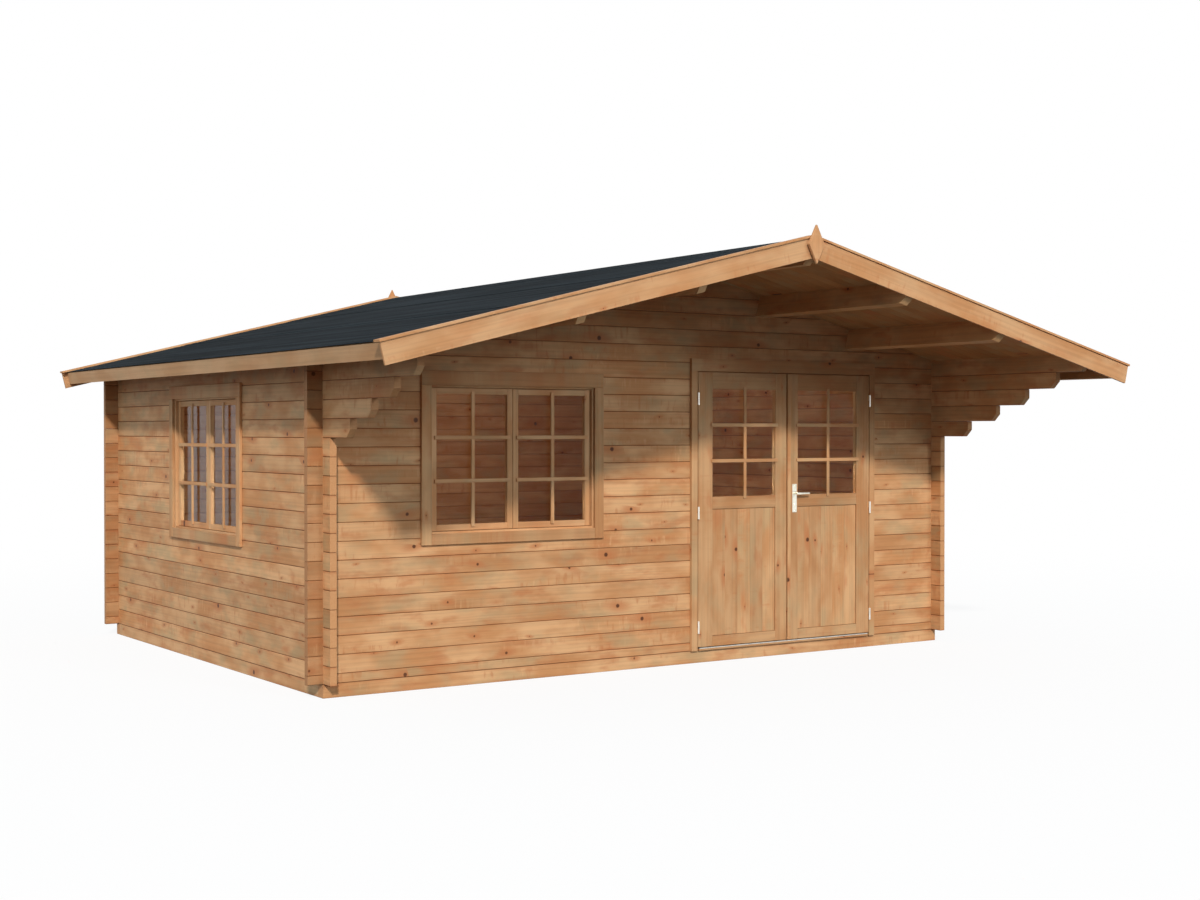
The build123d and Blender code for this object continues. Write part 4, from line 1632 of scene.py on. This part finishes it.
@dataclass
class DoorLeaf:
    """One leaf: stiles and rails, boarded panel, glazing bars and glass."""

    side: Side
    hinge_edge: float = 0.794
    meeting_edge: float = 0.004
    pane_outer: float = 0.670
    pane_inner: float = 0.104
    foot: float = 0.110
    top: float = 2.0156
    pane_top: float = 1.8996
    pane_foot: float = 1.1496
    panel_top: float = 1.0646
    panel_foot: float = 0.180
    panel_recess: float = 0.008
    panel_depth: float = 0.020
    panel_gap: float = 0.0025
    panel_boards: int = 5
    panel_ease: float = 0.0012
    bar_depth: float = 0.009
    bar_lap: float = 0.016
    bead: float = 0.027
    bead_depth: float = 0.009
    bead_ease: float = 0.003
    glass_recess: float = 0.016
    joinery_seed: int = 70
    panel_seed: int = 80
    bar_seed: int = 90
    bead_seed: int = 97

    @property
    def body(self) -> str:
        """The body that the leaf's pieces ride on."""
        return f"{self.side.word}_door"

    def _name(self, part: str) -> str:
        """The name of a part of this leaf."""
        return f"{self.side.word}_leaf_{part}"

    def _x(self, start: float, end: float) -> Span:
        """Two places on this leaf's side, measured from the middle of the door, the lower first."""
        low, high = sorted(DOOR_MIDDLE + self.side.value * place for place in (start, end))
        return low, high

    def build(self) -> None:
        """Make the leaf's boards, bars and glass, and dress its hinges."""
        self._joinery()
        self._panel()
        self._bars()
        if self.side is Side.RIGHT:
            self._bead()
        self._glass()
        dress(self._name("hinges"), HINGE_STEEL.material())

    def _settle(self, boards: BoardSet, node: Optional[str] = None) -> None:
        """Make a set of boards a piece of this leaf."""
        boards.settle(JOINERY_WOOD.boards(), self.body, "door_wood", node)

    def _joinery(self) -> None:
        """Stiles through, three rails between."""
        boards = BoardSet(self._name("joinery"), seed=self.joinery_seed + self.side.value)
        deep = (DOOR_FACE, DOOR_FACE + LEAF_THICKNESS)
        for x in (self._x(self.pane_outer, self.hinge_edge), self._x(self.meeting_edge, self.pane_inner)):
            boards.add(x, deep, (self.foot, self.top), Axis.Z)
        x = self._x(self.pane_inner, self.pane_outer)
        for z in ((self.foot, self.panel_foot), (self.panel_top, self.pane_foot), (self.pane_top, self.top)):
            boards.add(x, deep, z, Axis.X)
        self._settle(boards, self._name("frame"))

    def _panel(self) -> None:
        """Upright boards in the lower part."""
        seed = self.panel_seed + self.side.value
        boards = BoardSet(self._name("boards"), ease=self.panel_ease, seed=seed)
        front = DOOR_FACE + self.panel_recess
        x = self._x(self.pane_inner + self.panel_gap, self.pane_outer - self.panel_gap)
        z = (self.panel_foot + self.panel_gap, self.panel_top - self.panel_gap)
        for span in spread(*x, self.panel_boards, FIT):
            boards.add(span, (front, front + self.panel_depth), z, Axis.Z)
        self._settle(boards, self._name("panel"))

    def _bars(self) -> None:
        """Glazing bars planted on the leaf's face."""
        boards = BoardSet(self._name("bars"), seed=self.bar_seed + self.side.value)
        across = self._x(self.pane_inner, self.pane_outer)
        out = (DOOR_FACE - self.bar_depth, DOOR_FACE)
        glazing_bars(boards, across, (self.pane_foot, self.pane_top), out, self.bar_lap, Axis.Z)
        self._settle(boards)

    def _glass(self) -> None:
        """A sheet let into the leaf's stiles and rails."""
        across = self._x(self.pane_inner - GLASS_REBATE, self.pane_outer + GLASS_REBATE)
        front = DOOR_FACE + self.glass_recess
        up = (self.pane_foot - GLASS_REBATE, self.pane_top + GLASS_REBATE)
        low, high = (Vector(corner) for corner in zip(across, (front, front + GLASS_THICKNESS), up))
        sheet = bmesh.new()
        bmesh.ops.create_cube(sheet, size=1.0, matrix=seat_between(low, high))
        settle(self._name("pane"), sheet, GLASS.material(), self.body, self._name("glass"))

    def _bead(self) -> None:
        """The strip down the meeting edge."""
        boards = BoardSet(self._name("bead"), ease=self.bead_ease, seed=self.bead_seed)
        x = self._x(self.meeting_edge, self.meeting_edge + self.bead)
        boards.add(x, (DOOR_FACE - self.bead_depth, DOOR_FACE), (self.foot, self.top), Axis.Z)
        self._settle(boards)


@dataclass
class Handle:
    """Lever, plates, lock cylinder and screws on the right leaf, alike on both faces.

    A profile lists distances along a turned part, each with its share of the part's half width.
    """

    x: float = 1.118
    z: float = 1.160
    plate: float = 0.004
    neck: float = 0.042
    neck_radius: float = 0.009
    neck_start: float = 0.0005
    neck_waist: float = 0.86
    neck_collar: float = 0.004
    neck_tip: float = 0.001
    neck_tip_share: float = 0.7
    lever_start: float = -0.010
    lever_depth: float = 0.006
    lever_height: float = 0.010
    lever_fullness: float = 0.1
    lever_profile: tuple[Span, ...] = (
        (0.0, 0.45), (0.003, 0.78), (0.010, 0.98), (0.022, 1.0), (0.060, 0.86),
        (0.098, 0.74), (0.116, 0.70), (0.122, 0.56), (0.125, 0.25),
    )
    cylinder_drop: float = 0.078
    cylinder_radius: float = 0.0085
    cylinder_profile: tuple[Span, ...] = ((-0.001, 1.0), (0.0022, 1.0), (0.003, 0.88))
    tail_drop: float = 1.35
    tail_profile: tuple[Triple, ...] = ((-0.001, 0.6, 1.0), (0.0018, 0.6, 1.0), (0.0024, 0.5, 0.9))
    screws: Span = (0.054, -0.126)
    screw_radius: float = 0.0042
    screw_profile: tuple[Span, ...] = ((-0.001, 1.0), (0.0006, 1.0), (0.0014, 0.8), (0.0018, 0.4))

    def build(self) -> None:
        """Make the lever and the small parts, and dress the plates."""
        dress("handle_plates", HANDLE_STEEL.material())
        lever, fittings = bmesh.new(), bmesh.new()
        for end in End:
            face = DOOR_FACE if end is End.FRONT else DOOR_FACE + LEAF_THICKNESS
            self._lever(lever, face, end.value)
            self._fittings(fittings, face + end.value * self.plate, end.value)
        settle("lever_grips", lever, HANDLE_STEEL.material(), "lever", "handle_lever")
        settle("handle_fittings", fittings, HANDLE_STEEL.material(), "right_door")

    def _outward(self, z: float, face: float, way: int) -> Matrix:
        """Space on a face of the leaf, its z pointing away from the leaf."""
        return Matrix.Translation((self.x, face, z)) @ Matrix.Rotation(-way * math.pi / 2, 4, "X")

    def _lever(self, mesh: Mesh, face: float, way: int) -> None:
        """One neck and grip.

        Args:
            mesh: Where they are added.
            face: The leaf's face.
            way: Which way that face looks along y.
        """
        reach = self.plate + self.neck
        neck = (
            (self.neck_start, 1.0),
            (reach / 2, self.neck_waist),
            (reach - self.neck_collar, 1.0),
            (reach - self.neck_tip, self.neck_tip_share),
        )
        peg(mesh, self._outward(self.z, face, way), self.neck_radius, neck)
        centre = face + way * (reach - self.lever_depth)
        along = Matrix.Translation((self.x + self.lever_start, centre, self.z))
        grip = [
            (distance, self.lever_height * share, self.lever_depth * min(1.0, share + self.lever_fullness))
            for distance, share in self.lever_profile
        ]
        turned(mesh, along @ Matrix.Rotation(math.pi / 2, 4, "Y"), grip)

    def _fittings(self, mesh: Mesh, face: float, way: int) -> None:
        """Lock cylinder and two screw heads on one plate.

        Args:
            mesh: Where they are added.
            face: The plate's face.
            way: Which way that face looks along y.
        """
        radius = self.cylinder_radius
        seat = self._outward(self.z - self.cylinder_drop, face, way)
        peg(mesh, seat, radius, self.cylinder_profile)
        tail = seat @ Matrix.Translation((0.0, way * self.tail_drop * radius, 0.0))
        turned(mesh, tail, [(d, radius * wide, radius * tall) for d, wide, tall in self.tail_profile])
        for rise in self.screws:
            peg(mesh, self._outward(self.z + rise, face, way), self.screw_radius, self.screw_profile)


def main() -> None:
    """Build the cabin's looks, piece by piece."""
    logging.basicConfig(level=logging.INFO, format="%(name)s: %(message)s")
    Studio().build()
    LogShell().build()
    Base().build()
    Roof().build()
    Window("front", foot=(-1.212, FRONT_WALL, 0.940), along=(1.0, 0.0, 0.0), seed=21).build()
    Window("left", foot=(-SIDE_WALL, 0.650, 0.883), along=(0.0, -1.0, 0.0), seed=31).build()
    DoorFrame().build()
    for side in Side:
        DoorLeaf(side).build()
    Handle().build()


if __name__ == "__main__":
    main()
